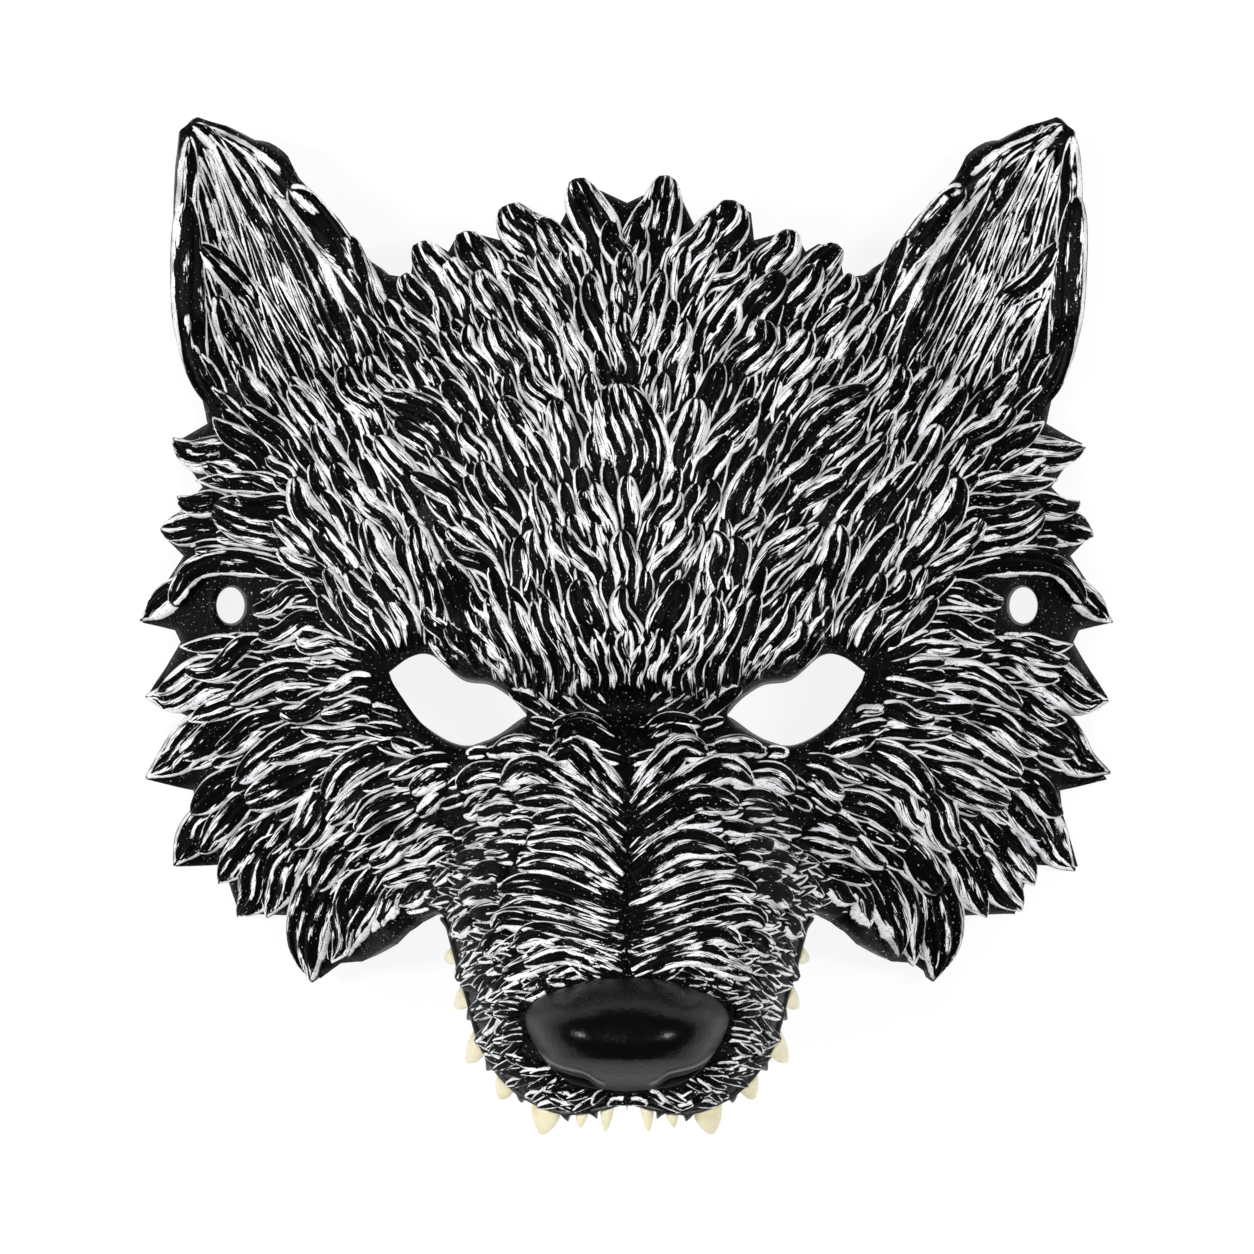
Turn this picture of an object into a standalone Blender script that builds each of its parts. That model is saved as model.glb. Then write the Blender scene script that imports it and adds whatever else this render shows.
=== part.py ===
"""Half-face wolf mask, lying on its back rim with the face up.

The mask is one foam moulding: face, ears and muzzle are one wall, with locks of fur raised on it.
The nose, the strip of gum and the fourteen teeth are pieces of their own.
+X is the viewer's right, +Y runs up to the ears and +Z comes out of the face.
u, v and w are shares of the half width, the half height and the depth.
Every table gives the viewer's left half, and the right half is its mirror image.
"""
import math

import bpy
import numpy as np
from mathutils import Vector, geometry

# Driving dimensions, in metres
MASK_WIDTH = 0.260
MASK_HEIGHT = 0.267
MASK_DEPTH = 0.125
WRAP_DEPTH = 0.063
WALL = 0.004
TIP_THICKNESS = 0.003
LOCK_RELIEF = 0.0042
STRAP_HOLE_FRONT = 0.0112
STRAP_HOLE_BACK = 0.0085
NOSE_EDGE = 0.0015
NOSTRIL_DEPTH = 0.003
GUM_HEIGHT = 0.0012
GUM_WEB = 0.0020
CANINE_WIDTH = 0.0082
GAP = 0.0003

# Spacing of the faceted surface, in metres
POINT_SPACING = 0.0018
FRONT_FILL = 0.0075
BACK_FILL = 0.0125
EDGE_STEP = 0.0065
EDGE_FADE = 0.0025
NOSE_STEP = 0.004

# Twice the area under which a facet counts as none, in square metres
SLIVER = 1e-9

HALF_WIDTH = MASK_WIDTH / 2
HALF_HEIGHT = MASK_HEIGHT / 2

# The bare face down its middle: v, w
FACE = [(1.00, .19), (.85, .27), (.67, .35), (.45, .43), (.22, .485), (0, .505),
        (-.15, .48), (-.34, .44), (-.56, .36), (-.75, .265), (-1.00, .16)]

# The muzzle: v, w of its side, w of its bridge, half width u
MUZZLE = [(-.16, .478, .478, .20), (-.26, .455, .528, .24), (-.375, .425, .616, .30),
          (-.49, .385, .700, .36), (-.56, .375, .755, .395), (-.62, .420, .800, .385),
          (-.75, .530, .870, .350), (-.85, .640, .895, .315), (-.92, .725, .850, .250),
          (-.96, .780, .810, .170)]

# A section across the muzzle: share of its half width, share of its rise
MUZZLE_SECTION = [(0, 1), (.35, .965), (.6, .85), (.8, .60), (.95, .28), (1.1, .08), (1.3, 0)]

# The inner edge of the ear: v, u
EAR_INNER_EDGE = [(.40, .50), (.60, .50), (.71, .524), (.804, .579), (.914, .660), (1, .735)]

# A section across the ear from its outer edge: share of its width, w over its middle plane
EAR_SECTION = [(0, .045), (.12, .025), (.4, -.06), (.65, -.035), (.83, .055), (1, .005)]

# Hollows and swells of the face: centre u, v, half lengths u, v, height w
FACE_FORMS = {
    "brow": (.28, -.03, .26, .10, .050),
    "eye_socket": (.34, -.19, .17, .085, -.075),
    "stop": (0, -.175, .16, .035, -.030),
    "inner_eye_corner": (.17, -.20, .06, .05, -.020),
}

# The outline in percent of the half width and half height, from the crown to the lip
CROWN_EDGE = [(0, 82.4), (-9.5, 86.8), (-13.7, 78), (-20, 81.2), (-23, 81.7), (-25.4, 80.5),
              (-26, 75), (-31.5, 76.5), (-35.4, 75), (-36.6, 72.8), (-39.2, 74.4),
              (-41.7, 74.2), (-43.8, 71.4), (-44.4, 67.6)]
EAR_EDGE = [(-49.7, 68.4), (-52.4, 71), (-57.9, 80.4), (-67.1, 91.4), (-75, 95.8), (-82.5, 99),
            (-87.7, 100), (-91.3, 97.4), (-91.8, 87.4), (-91.8, 73.4), (-91.1, 57.5),
            (-88.7, 47.5), (-86.7, 39)]
SIDE_EDGE = [(-94, 35), (-87.6, 26.2), (-92, 22), (-95.7, 16.2), (-91.6, 12.4), (-95, 7.5),
             (-100, -1), (-93.4, -2.6), (-92.2, -5), (-99.2, -16.1), (-91, -19.8), (-93.7, -25.2),
             (-99, -32.5), (-89.6, -34.8), (-90, -39.6), (-93, -50), (-83.5, -49.7),
             (-81.8, -55), (-80.1, -59.6), (-69.2, -59.8), (-65.8, -68.8), (-63.4, -72.5),
             (-59, -69.3), (-54.7, -68.8), (-49.4, -64.7), (-46.5, -61.4), (-43.6, -59.1)]
LIP_EDGE = [(-41, -58), (-38.6, -57.9), (-36.6, -60), (-35.8, -62.5), (-34.1, -68.2),
            (-32.2, -74.2), (-30.2, -80.8), (-28.4, -84.6), (-24.9, -89.3), (-19.7, -93.2),
            (-12.7, -95.4), (-5.8, -94.7), (0, -93.1)]
EYE_EDGE = [(-48.4, -11), (-43.5, -7.9), (-39.1, -7.8), (-33.2, -12.3), (-26.9, -13.5),
            (-20.3, -18.8), (-26.3, -23.5), (-33.4, -25.3), (-40.9, -21.7), (-46.9, -14.3)]
STRAP_HOLE = (-81.3, 2.4)
NOSE_PEAK = (0, -80)
NOSE_OUTLINE = [(0, -69.3), (-6, -69.5), (-12, -71.2), (-17.4, -73.3), (-20, -76.5),
                (-19.6, -79.5), (-17.5, -83.2), (-14, -87.4), (-9, -90), (0, -91)]

# The nose down its middle: v, w
NOSE_PROFILE = [(-.69, .90), (-.75, .975), (-.80, 1), (-.84, .992), (-.88, .93), (-.915, .875)]

# Locks of fur in percent: tip u, tip v, root u, root v, width, bow to the left of its run
CROWN_LOCKS = [
    (-9.5, 86.8, -5, 66, 9, .05), (-22, 81.5, -15, 66, 10, .06), (-32.5, 76.4, -27, 62, 8, .05),
    (-41.7, 74.2, -35, 59, 8, .05), (0, 72, 0, 56, 6, 0), (-24, 67.5, -14, 45, 8, -.05),
    (-8, 67.5, -3, 47, 7, 0), (-27.5, 58.5, -21, 41, 8, 0), (-36, 57, -28, 41, 8, .05),
    (-45, 61, -38, 50, 7, 0),
]
BROW_LOCKS = [
    (-25.5, 43, -17, 26, 8, 0), (-14, 44, -11.5, 25, 7, 0), (0, 46, 0, 22, 14, 0),
    (-28, 31, -21, 13, 8, 0), (-49, 44, -32, 28, 8, -.14), (-43.5, 28, -32, 19, 7, 0),
    (-51, 35, -41, 21, 7, 0), (-43, 18.5, -38, -6, 8, 0), (-36, 17, -26, 6, 9, 0),
    (-37, 10, -30, -10, 8, 0), (-31.5, 4, -23, -10, 8, 0), (-21.5, 16.5, -21, 3, 9, 0),
    (-12.5, 18.7, -7, 4, 9, 0), (0, 17, 0, 2, 8, 0), (-10.6, 7.3, -6, -8, 8, 0),
    (-20, 3.5, -15, -13, 9, 0),
]
TEMPLE_LOCKS = [
    (-94, 35, -74, 27, 9, 0), (-84, 39.5, -71, 27, 8, 0), (-70, 45, -61, 30, 8, 0),
    (-62.5, 38.5, -56, 18, 8, 0), (-66, 28, -59, 5, 8, 0), (-84, 22, -63, 11, 12, 0),
    (-95.7, 16.5, -80, 15, 9, 0), (-91, 3, -64, 9, 7, -.2), (-100, -1, -86, 8, 8, -.1),
    (-90, -9, -70, -6, 8, 0), (-68, -5, -55, -8, 7, 0), (-81, -17, -58, -11.5, 9, -.11),
    (-54, 16, -45, -5, 8, 0), (-59, 7, -49, -8, 8, 0),
]
CHEEK_LOCKS = [
    (-99.2, -16.1, -78, -12, 9, 0), (-99, -32.4, -78, -19, 10, 0), (-90.8, -28, -75, -19.5, 8, 0),
    (-79.5, -32, -59, -20.5, 9, -.08), (-61.2, -35.5, -47, -26, 8, -.05),
    (-76.6, -37.8, -58, -29.5, 10, 0), (-67.5, -44.5, -58, -33, 10, 0),
    (-54.5, -42.5, -40, -34.5, 8, -.12), (-90, -39, -78, -31, 8, 0), (-93, -50, -79, -36, 10, 0),
    (-82, -56, -71, -39, 10, 0), (-75, -60, -65, -43, 10, 0), (-63.4, -72.5, -60, -46, 11, 0),
    (-64, -53.5, -54, -42.5, 8, 0), (-55.7, -67.5, -49.5, -49, 9, 0), (-49, -52.5, -37, -49, 6, 0),
    (-48, -30, -35, -27, 7, 0),
]
EAR_LOCKS = [
    (-72, 86, -55, 44, 9, -.12), (-60, 80, -49, 60, 8, -.05), (-85, 92, -66, 55, 9, -.05),
    (-89, 76, -75, 47, 9, 0), (-88, 58, -80, 42, 8, 0),
]

# Rows of fur across the muzzle, from the stop to the nose: first v, last v, number of rows
MUZZLE_ROWS = (-26, -64, 8)
MUZZLE_ROW_WIDTH = 8
MUZZLE_ROW_REACH = .62
MUZZLE_ROW_DROP = 9

# A lock along its length from the root: share of length, share of half width, share of height
LOCK_FORM = [(0, .50, 0), (.3, .85, .40), (.6, 1, .80), (.82, .80, 1), (.94, .45, .80), (1, 0, .40)]

# Shares of a lock's length that get points of their own
LOCK_STATIONS = (.12, .36, .6, .78, .92)

# Teeth from the back of the jaw: place along the lip, width over the canine's, tip u, v and w
TEETH = [
    (.163, .70, -36.8, -67.6, .36), (.286, .85, -34.6, -76.5, .46), (.431, 1.05, -32.2, -86.7, .55),
    (.585, .80, -25.4, -93.3, .68), (.737, 1.0, -17.0, -100, .725), (.850, .42, -9.3, -98.4, .775),
    (.928, .46, -4.3, -99.2, .78),
]
# A tooth along its length: share of length, share of width
TOOTH_FORM = [(0, 1), (.3, .92), (.6, .68), (.85, .36)]
TOOTH_SIDES = 10
GUM_STATIONS = 34


def smooth(low, high, value):
    """Rise from 0 at low to 1 at high with level ends."""
    share = np.clip((value - low) / (high - low), 0, 1)
    return share * share * (3 - 2 * share)


def curve(rows, column, at):
    """Read a table's column at its first column's value along a smooth curve without overshoot."""
    rows = sorted(rows)
    x = np.array([row[0] for row in rows], float)
    y = np.array([row[column] for row in rows], float)
    step = np.diff(x)
    slope = np.diff(y) / step
    before, after = slope[:-1], slope[1:]
    total = np.where(before + after == 0, 1, before + after)
    tangent = np.zeros(len(x))
    tangent[1:-1] = np.where(before * after > 0, 2 * before * after / total, 0)
    tangent[0] = slope[0]
    tangent[-1] = slope[-1]
    at = np.asarray(at, float)
    i = np.clip(np.searchsorted(x, at) - 1, 0, len(step) - 1)
    t = np.clip((at - x[i]) / step[i], 0, 1)
    start = (2 * t ** 3 - 3 * t ** 2 + 1) * y[i] + (t ** 3 - 2 * t ** 2 + t) * step[i] * tangent[i]
    end = (3 * t ** 2 - 2 * t ** 3) * y[i + 1] + (t ** 3 - t ** 2) * step[i] * tangent[i + 1]
    return start + end


def muzzle_height(side, v, face):
    """w of the muzzle at the share side of its run from the middle of the face."""
    blend = smooth(-.16, -.26, v)
    level = face + (curve(MUZZLE, 1, v) - face) * blend
    rise = np.clip(curve(MUZZLE, 2, v) - level, 0, 1) * blend
    return level + rise * curve(MUZZLE_SECTION, 1, side / curve(MUZZLE, 3, v))


def ear_height(side, v):
    """w of the ear, a shallow dish with a ridge along its inner edge."""
    inner = curve(EAR_INNER_EDGE, 1, v)
    across = np.clip((.92 - side) / (.92 - inner), 0, 1)
    shallow = 1 - .75 * smooth(.80, 1, v)
    return .185 - .04 * (v - .5) / .5 + curve(EAR_SECTION, 1, across) * shallow


def base_height(u, v):
    """Height of the bare moulding over the floor at shares u and v."""
    side = np.abs(u)
    face = curve(FACE, 1, v)
    wrap = WRAP_DEPTH / MASK_DEPTH * side ** 2
    w = muzzle_height(side, v, face)
    w = w + (face - w) * smooth(.42, .56, side) - wrap
    for at_u, at_v, half_u, half_v, height in FACE_FORMS.values():
        w = w + height * np.exp(-((side - at_u) / half_u) ** 2 - ((v - at_v) / half_v) ** 2)
    ear = smooth(.40, .60, v) * smooth(.45, .60, side)
    w = w + (ear_height(side, v) - w) * ear
    over = w * MASK_DEPTH - TIP_THICKNESS
    return TIP_THICKNESS + (over + np.sqrt(over ** 2 + (TIP_THICKNESS / 2) ** 2)) / 2


def plan(points):
    """Percent places to metres in the plan."""
    return np.asarray(points, float) / 100 * (HALF_WIDTH, HALF_HEIGHT)


def surface(places):
    """Points and outward normals of the bare moulding over places in the plan."""
    x, y = places[:, 0], places[:, 1]
    step = 0.0005
    z = base_height(x / HALF_WIDTH, y / HALF_HEIGHT)
    slope_x = (base_height((x + step) / HALF_WIDTH, y / HALF_HEIGHT)
               - base_height((x - step) / HALF_WIDTH, y / HALF_HEIGHT)) / (2 * step)
    slope_y = (base_height(x / HALF_WIDTH, (y + step) / HALF_HEIGHT)
               - base_height(x / HALF_WIDTH, (y - step) / HALF_HEIGHT)) / (2 * step)
    normals = np.column_stack([-slope_x, -slope_y, np.ones_like(x)])
    normals /= np.linalg.norm(normals, axis=1)[:, None]
    return np.column_stack([x, y, z]), normals


def muzzle_locks():
    """Rows of fur that run out and down from the bridge of the muzzle."""
    first, last, count = MUZZLE_ROWS
    rows = []
    for v in np.linspace(first, last, count):
        half = 100 * float(curve(MUZZLE, 3, v / 100))
        rows.append((-half * MUZZLE_ROW_REACH - 3, v, -1.5, v - MUZZLE_ROW_DROP, MUZZLE_ROW_WIDTH, -.22))
        if v > -58:
            rows.append((-half * 1.05, v - 2, -half * .55, v + 1, MUZZLE_ROW_WIDTH * .8, -.1))
    return rows


class Lock:
    """One lock of fur: a leaf on the surface, low at its root and high near its tip."""

    def __init__(self, row, flip=1):
        tip_u, tip_v, root_u, root_v, width, bow = row
        tip, root = plan([(tip_u * flip, tip_v), (root_u * flip, root_v)])
        run = tip - root
        left = np.array([-run[1], run[0]])
        middle = (tip + root) / 2 + left * bow * flip
        t = np.linspace(0, 1, 11)[:, None]
        self.line = root * (1 - t) ** 2 + (2 * middle - (tip + root) / 2) * 2 * t * (1 - t) + tip * t ** 2
        self.half = width / 200 * HALF_WIDTH
        self.height = LOCK_RELIEF * min(1, .35 + width / 12)

    def relief(self, places):
        """Height of the lock over places in the plan."""
        start, run = self.line[:-1], np.diff(self.line, axis=0)
        to = places[:, None] - start
        along = np.clip((to * run).sum(2) / (run ** 2).sum(1), 0, 1)
        away = np.linalg.norm(to - along[..., None] * run, axis=2)
        nearest = away.argmin(1)
        pick = np.arange(len(places))
        share = (nearest + along[pick, nearest]) / len(run)
        across = away[pick, nearest] / np.maximum(self.half * curve(LOCK_FORM, 1, share), 1e-6)
        return self.height * curve(LOCK_FORM, 2, share) * np.clip(1 - across ** 2.4, 0, 1)

    def station(self, share):
        """Middle, sideways direction and half width at a share of the length."""
        at = share * (len(self.line) - 1)
        i = min(int(at), len(self.line) - 2)
        middle = self.line[i] + (self.line[i + 1] - self.line[i]) * (at - i)
        run = self.line[i + 1] - self.line[i]
        side = np.array([-run[1], run[0]]) / np.linalg.norm(run)
        return middle, side, self.half * float(curve(LOCK_FORM, 1, share))


def all_locks():
    """The locks of both halves, the left half first."""
    rows = CROWN_LOCKS + BROW_LOCKS + TEMPLE_LOCKS + CHEEK_LOCKS + EAR_LOCKS + muzzle_locks()
    return [Lock(row) for row in rows], [Lock(row, -1) for row in rows]


def edge_distance(places, loops):
    """Distance in the plan from places to the nearest wall of the loops."""
    nearest = np.full(len(places), 1.0)
    for loop in loops:
        run = np.roll(loop, -1, axis=0) - loop
        is_wall = ~(on_middle(loop) & on_middle(run))
        loop, run = loop[is_wall], run[is_wall]
        to = places[:, None] - loop
        along = np.clip((to * run).sum(2) / (run ** 2).sum(1), 0, 1)
        away = np.linalg.norm(to - along[..., None] * run, axis=2)
        nearest = np.minimum(nearest, away.min(1))
    return nearest


def inside(places, loop):
    """Which places lie inside a closed loop."""
    x, y = places[:, 0], places[:, 1]
    result = np.zeros(len(places), bool)
    for a, b in zip(loop, np.roll(loop, -1, axis=0)):
        crosses = (a[1] > y) != (b[1] > y)
        rise = b[1] - a[1] if b[1] != a[1] else 1
        result ^= crosses & (x < a[0] + (b[0] - a[0]) * (y - a[1]) / rise)
    return result


def divided(line, step):
    """A line with its long stretches divided."""
    result = [line[0]]
    for a, b in zip(line[:-1], line[1:]):
        count = max(1, math.ceil(np.linalg.norm(b - a) / step))
        result += [a + (b - a) * (k + 1) / count for k in range(count)]
    return np.array(result)


def rounded(line, count):
    """Points along a smooth curve through a line's points, evenly spaced along it."""
    ends = np.vstack([2 * line[0] - line[1], line, 2 * line[-1] - line[-2]])
    points = []
    for a, b, c, d in zip(ends, ends[1:], ends[2:], ends[3:]):
        for t in np.linspace(0, 1, 8, endpoint=False):
            points.append(b + .5 * t * ((c - a) + t * (2 * a - 5 * b + 4 * c - d + t * (3 * (b - c) + d - a))))
    points = np.vstack(points + [line[-1]])
    length = np.concatenate([[0], np.cumsum(np.linalg.norm(np.diff(points, axis=0), axis=1))])
    at = np.linspace(0, length[-1], count)
    return np.column_stack([np.interp(at, length, points[:, k]) for k in (0, 1)])


def strap_hole(diameter):
    """The ring of a strap hole in the plan, clockwise and round on the tilted wall."""
    centre = plan([STRAP_HOLE])
    tilt = surface(centre)[1][0][2]
    turn = np.linspace(0, 2 * math.pi, 14, endpoint=False)
    return centre[0] + np.column_stack([np.cos(turn) * tilt, -np.sin(turn)]) * diameter / 2


def half_loops(strap_diameter):
    """The left half's outline with the middle line last, then its eye opening and its strap hole."""
    edge = divided(plan(CROWN_EDGE + EAR_EDGE + SIDE_EDGE), EDGE_STEP)
    lip = rounded(plan(LIP_EDGE), GUM_STATIONS)
    nose = plan(NOSE_OUTLINE)
    middle = np.array([lip[-1], nose[-1], *plan([NOSE_PEAK]), nose[0], edge[0]])
    middle = divided(middle, EDGE_STEP)[1:-1]
    outline = np.vstack([edge, lip, middle])
    return [outline, divided(plan(EYE_EDGE + EYE_EDGE[:1]), EDGE_STEP)[:-1], strap_hole(strap_diameter)]


def thinned(places, radius, kept):
    """Add places in order, leaving out each that is nearer than its radius to one already kept."""
    count = len(kept)
    kept = np.vstack([kept, np.zeros_like(places)])
    for place, reach in zip(places, radius):
        near = ((kept[:count] - place) ** 2).sum(1).min()
        if near >= reach ** 2:
            kept[count] = place
            count += 1
    return kept[:count]


def crease_places(left, both):
    """Places along the visible edges and crowns of the left half's locks."""
    across = np.linspace(.1, 1, 10)
    stations = [(lock, way, *lock.station(share))
                for lock in left for share in LOCK_STATIONS for way in (-1, 1)]
    places = [middle + way * half * across[:, None] * side for _, way, middle, side, half in stations]
    reliefs = {lock: lock.relief(np.vstack(places)).reshape(-1, len(across)) for lock in both}
    highest = np.max(list(reliefs.values()), axis=0)
    edges = [lock.line[-1] for lock in left]
    crowns = []
    for k, (lock, _, middle, _, half) in enumerate(stations):
        on_top = reliefs[lock][k] >= highest[k] - 1e-5
        if on_top[0]:
            last = len(across) - 1 if on_top.all() else int(on_top.argmin()) - 1
            edges.append(places[k][last])
            crowns.append(middle + (places[k][last] - middle) * .55)
            crowns.append(middle)
    return np.array(edges), np.array(crowns)


def fill_places(spacing):
    """A regular field of places over the left half."""
    x = np.arange(-HALF_WIDTH, 0, spacing)
    y = np.arange(-HALF_HEIGHT, HALF_HEIGHT, spacing)
    grid = np.stack(np.meshgrid(x, y), axis=-1)
    grid[1::2, :, 0] += spacing / 2
    return grid.reshape(-1, 2)


def inner_places(groups, loops, clear):
    """Thin groups of places, given with their spacing, inside the loops."""
    kept = np.vstack(loops)
    fixed = len(kept)
    for places, spacing in groups:
        holes = inside(places, loops[1]) | inside(places, loops[2])
        usable = inside(places, loops[0]) & ~holes & (edge_distance(places, loops) > clear)
        places = places[usable]
        steep = surface(places)[1][:, 2]
        kept = thinned(places, spacing * np.clip(steep * 1.15, .45, 1), kept)
    return kept[fixed:]


def triangulate(loops, places, lines=()):
    """Triangles over the left half between its loops, and each input point's index in the result."""
    points = [*loops, *lines, places]
    starts = np.cumsum([0] + [len(group) for group in points])
    edges = []
    for start, loop in zip(starts, loops):
        edges += [(start + k, start + (k + 1) % len(loop)) for k in range(len(loop))]
    for start, line in zip(starts[len(loops):], lines):
        edges += [(start + k, start + k + 1) for k in range(len(line) - 1)]
    flat = [Vector(point) for point in np.vstack(points).tolist()]
    verts, _, faces, origins, _, _ = geometry.delaunay_2d_cdt(flat, edges, [], 0, 1e-7)
    verts = np.array([tuple(vert) for vert in verts])
    faces = np.array(faces)
    first, second = verts[faces[:, 1]] - verts[faces[:, 0]], verts[faces[:, 2]] - verts[faces[:, 0]]
    is_sliver = first[:, 0] * second[:, 1] - first[:, 1] * second[:, 0] < SLIVER
    centres = verts[faces].mean(axis=1)
    keep = inside(centres, loops[0]) & ~inside(centres, loops[1]) & ~inside(centres, loops[2]) & ~is_sliver
    place_of = np.zeros(len(flat), int)
    for index, inputs in enumerate(origins):
        for original in inputs:
            place_of[original] = index
    return verts, faces[keep], place_of


def on_middle(places):
    """Which places lie on the mask's middle line."""
    return np.abs(places[:, 0]) < 1e-6


def join_halves(points, faces):
    """Mirror the left half and join it along the middle line."""
    points = points.copy()
    shared = on_middle(points)
    points[shared, 0] = 0
    other = np.where(shared, np.arange(len(points)), len(points) + np.cumsum(~shared) - 1)
    mirrored = points[~shared] * (-1, 1, 1)
    return np.vstack([points, mirrored]), np.vstack([faces, other[faces][:, ::-1]])


def clean_mesh(points, faces):
    """Leave out the points that no face uses."""
    used = np.unique(faces)
    index = np.zeros(len(points), int)
    index[used] = np.arange(len(used))
    return points[used], index[faces]


def paint(name, colour, roughness, metallic=0.0):
    """A plain Principled material."""
    material = bpy.data.materials.new(name)
    material.use_nodes = True
    shader = material.node_tree.nodes["Principled BSDF"]
    shader.inputs["Base Color"].default_value = (*colour, 1)
    shader.inputs["Roughness"].default_value = roughness
    shader.inputs["Metallic"].default_value = metallic
    return material


def add_object(name, points, faces, material):
    """Make one named object from points in metres."""
    points, faces = clean_mesh(np.asarray(points), np.asarray(faces))
    mesh = bpy.data.meshes.new(name)
    mesh.from_pydata(points.tolist(), [], faces.tolist())
    mesh.update()
    mesh.materials.append(material)
    item = bpy.data.objects.new(name, mesh)
    bpy.context.scene.collection.objects.link(item)
    return item


def nose_reach(places):
    """How far places lie from the middle of the nose, as a share of the way to its edge."""
    edge = divided(plan(NOSE_OUTLINE), POINT_SPACING / 2)
    centre = np.array([0, (edge[0][1] + edge[-1][1]) / 2])
    angle = np.arctan2(np.abs(edge[:, 0]), edge[:, 1] - centre[1])
    radius = np.linalg.norm(edge - centre, axis=1)
    turn = np.arctan2(np.abs(places[:, 0]), places[:, 1] - centre[1])
    return np.linalg.norm(places - centre, axis=1) / np.interp(turn, angle, radius)


def nose_places():
    """Rings of places inside the nose's outline."""
    edge = plan(NOSE_OUTLINE)
    centre = np.array([0, (edge[0][1] + edge[-1][1]) / 2])
    ring = divided(edge, NOSE_STEP)
    return np.vstack([centre + (ring - centre) * share for share in (.9, .76, .58, .36)])


def front_sheet():
    """The furred front of the left half: places in the plan, points, faces and each loop point's index."""
    left, right = all_locks()
    loops = half_loops(STRAP_HOLE_FRONT)
    nose_line = divided(plan(NOSE_OUTLINE), EDGE_STEP)
    edges, crowns = crease_places(left, left + right)
    around = [group[nose_reach(group) > 1.08] for group in (edges, crowns, fill_places(FRONT_FILL / 2))]
    groups = [(nose_line[1:-1], 0), (nose_places(), POINT_SPACING * .8), (around[0], POINT_SPACING),
              (around[1], POINT_SPACING), (around[2], FRONT_FILL)]
    places = inner_places(groups, loops, POINT_SPACING * .55)
    verts, faces, index = triangulate(loops, places, [nose_line])
    points, normals = surface(verts)
    relief = np.max([lock.relief(verts) for lock in left + right], axis=0)
    relief *= smooth(0, EDGE_FADE, edge_distance(verts, loops)) * smooth(1.03, 1.18, nose_reach(verts))
    return verts, points + normals * relief[:, None], faces, index


def back_sheet():
    """The plain back of the left half, flat where it rests: points, faces and each loop point's index."""
    loops = half_loops(STRAP_HOLE_BACK)
    places = inner_places([(fill_places(BACK_FILL / 2), BACK_FILL)], loops, POINT_SPACING)
    verts, faces, index = triangulate(loops, places)
    points, normals = surface(verts)
    points = points - normals * WALL
    points[:, 2] = np.maximum(points[:, 2], 0)
    points[on_middle(verts), 0] = 0
    return points, faces[:, ::-1], index


def rim_walls(front_index, back_index):
    """Faces that join the front's loops to the back's, apart from the middle line."""
    walls = []
    start = 0
    for loop in half_loops(STRAP_HOLE_FRONT):
        count = len(loop)
        middle = on_middle(loop)
        for k in range(count):
            after = (k + 1) % count
            if not (middle[k] and middle[after]):
                a, b = front_index[start + k], front_index[start + after]
                c, d = back_index[start + k], back_index[start + after]
                walls += [(a, c, b), (b, c, d)]
        start += count
    return np.array(walls)


def build_shell():
    """The foam wall; returns the front's places and faces, which the nose sits on."""
    verts, front, faces, front_index = front_sheet()
    back, back_faces, back_index = back_sheet()
    walls = rim_walls(front_index, back_index + len(front))
    points = np.vstack([front, back])
    every_face = np.vstack([faces, back_faces + len(front), walls])
    add_object("mask_shell", *join_halves(points, every_face), paint("fur_paint", (.045, .045, .05), .55))
    return verts, faces


def nose_height(places):
    """Height of the nose over its seat, with a nostril on each side."""
    u = np.abs(places[:, 0]) / HALF_WIDTH
    v = places[:, 1] / HALF_HEIGHT
    seat = surface(places)[0][:, 2]
    top = MASK_DEPTH * (curve(NOSE_PROFILE, 1, v) - .9 * u ** 2)
    body = np.maximum(top - seat, NOSE_EDGE)
    away = np.clip(nose_reach(places), 0, 1) ** 4
    nostril = np.exp(-((u - .10) / .040) ** 2 - ((v + .868) / .016) ** 2)
    height = body + (NOSE_EDGE - body) * away - NOSTRIL_DEPTH * nostril * smooth(0, .05, u)
    return np.maximum(height, NOSE_EDGE)


def build_nose(verts, faces):
    """The nose pad over the same facets of the shell that it sits on."""
    patch = faces[inside(verts[faces].mean(axis=1), plan(NOSE_OUTLINE))]
    seat = surface(verts)[0]
    bottom = seat + (0, 0, GAP)
    top = seat.copy()
    top[:, 2] += nose_height(verts)
    shift = len(verts)
    sides = {edge for a, b, c in patch.tolist() for edge in ((a, b), (b, c), (c, a))}
    walls = []
    middle = on_middle(verts)
    for a, b in sorted(sides):
        if (b, a) not in sides and not (middle[a] and middle[b]):
            walls += [(a + shift, a, b + shift), (b + shift, a, b)]
    points = np.vstack([bottom, top])
    all_faces = np.vstack([patch[:, ::-1], patch + shift, np.array(walls)])
    add_object("nose", *join_halves(points, all_faces), paint("nose_black", (.012, .012, .013), .22))


def lip_frames(places, tangents):
    """Points of the lip with its run, its outward normal and the way out of its edge."""
    points, normals = surface(places)
    runs = np.column_stack([tangents, np.zeros(len(places))])
    slope = -(normals[:, 0] * runs[:, 0] + normals[:, 1] * runs[:, 1]) / normals[:, 2]
    runs[:, 2] = slope
    runs /= np.linalg.norm(runs, axis=1)[:, None]
    out = np.cross(normals, runs) * -1
    return points, runs, normals, out


def lip_line():
    """The lip in the plan from the left corner round to the right one, with the teeth's places on it."""
    left = rounded(plan(LIP_EDGE), GUM_STATIONS)
    line = np.vstack([left, left[-2::-1] * (-1, 1)])
    tangents = np.gradient(line, axis=0)
    return line, tangents / np.linalg.norm(tangents, axis=1)[:, None]


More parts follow.
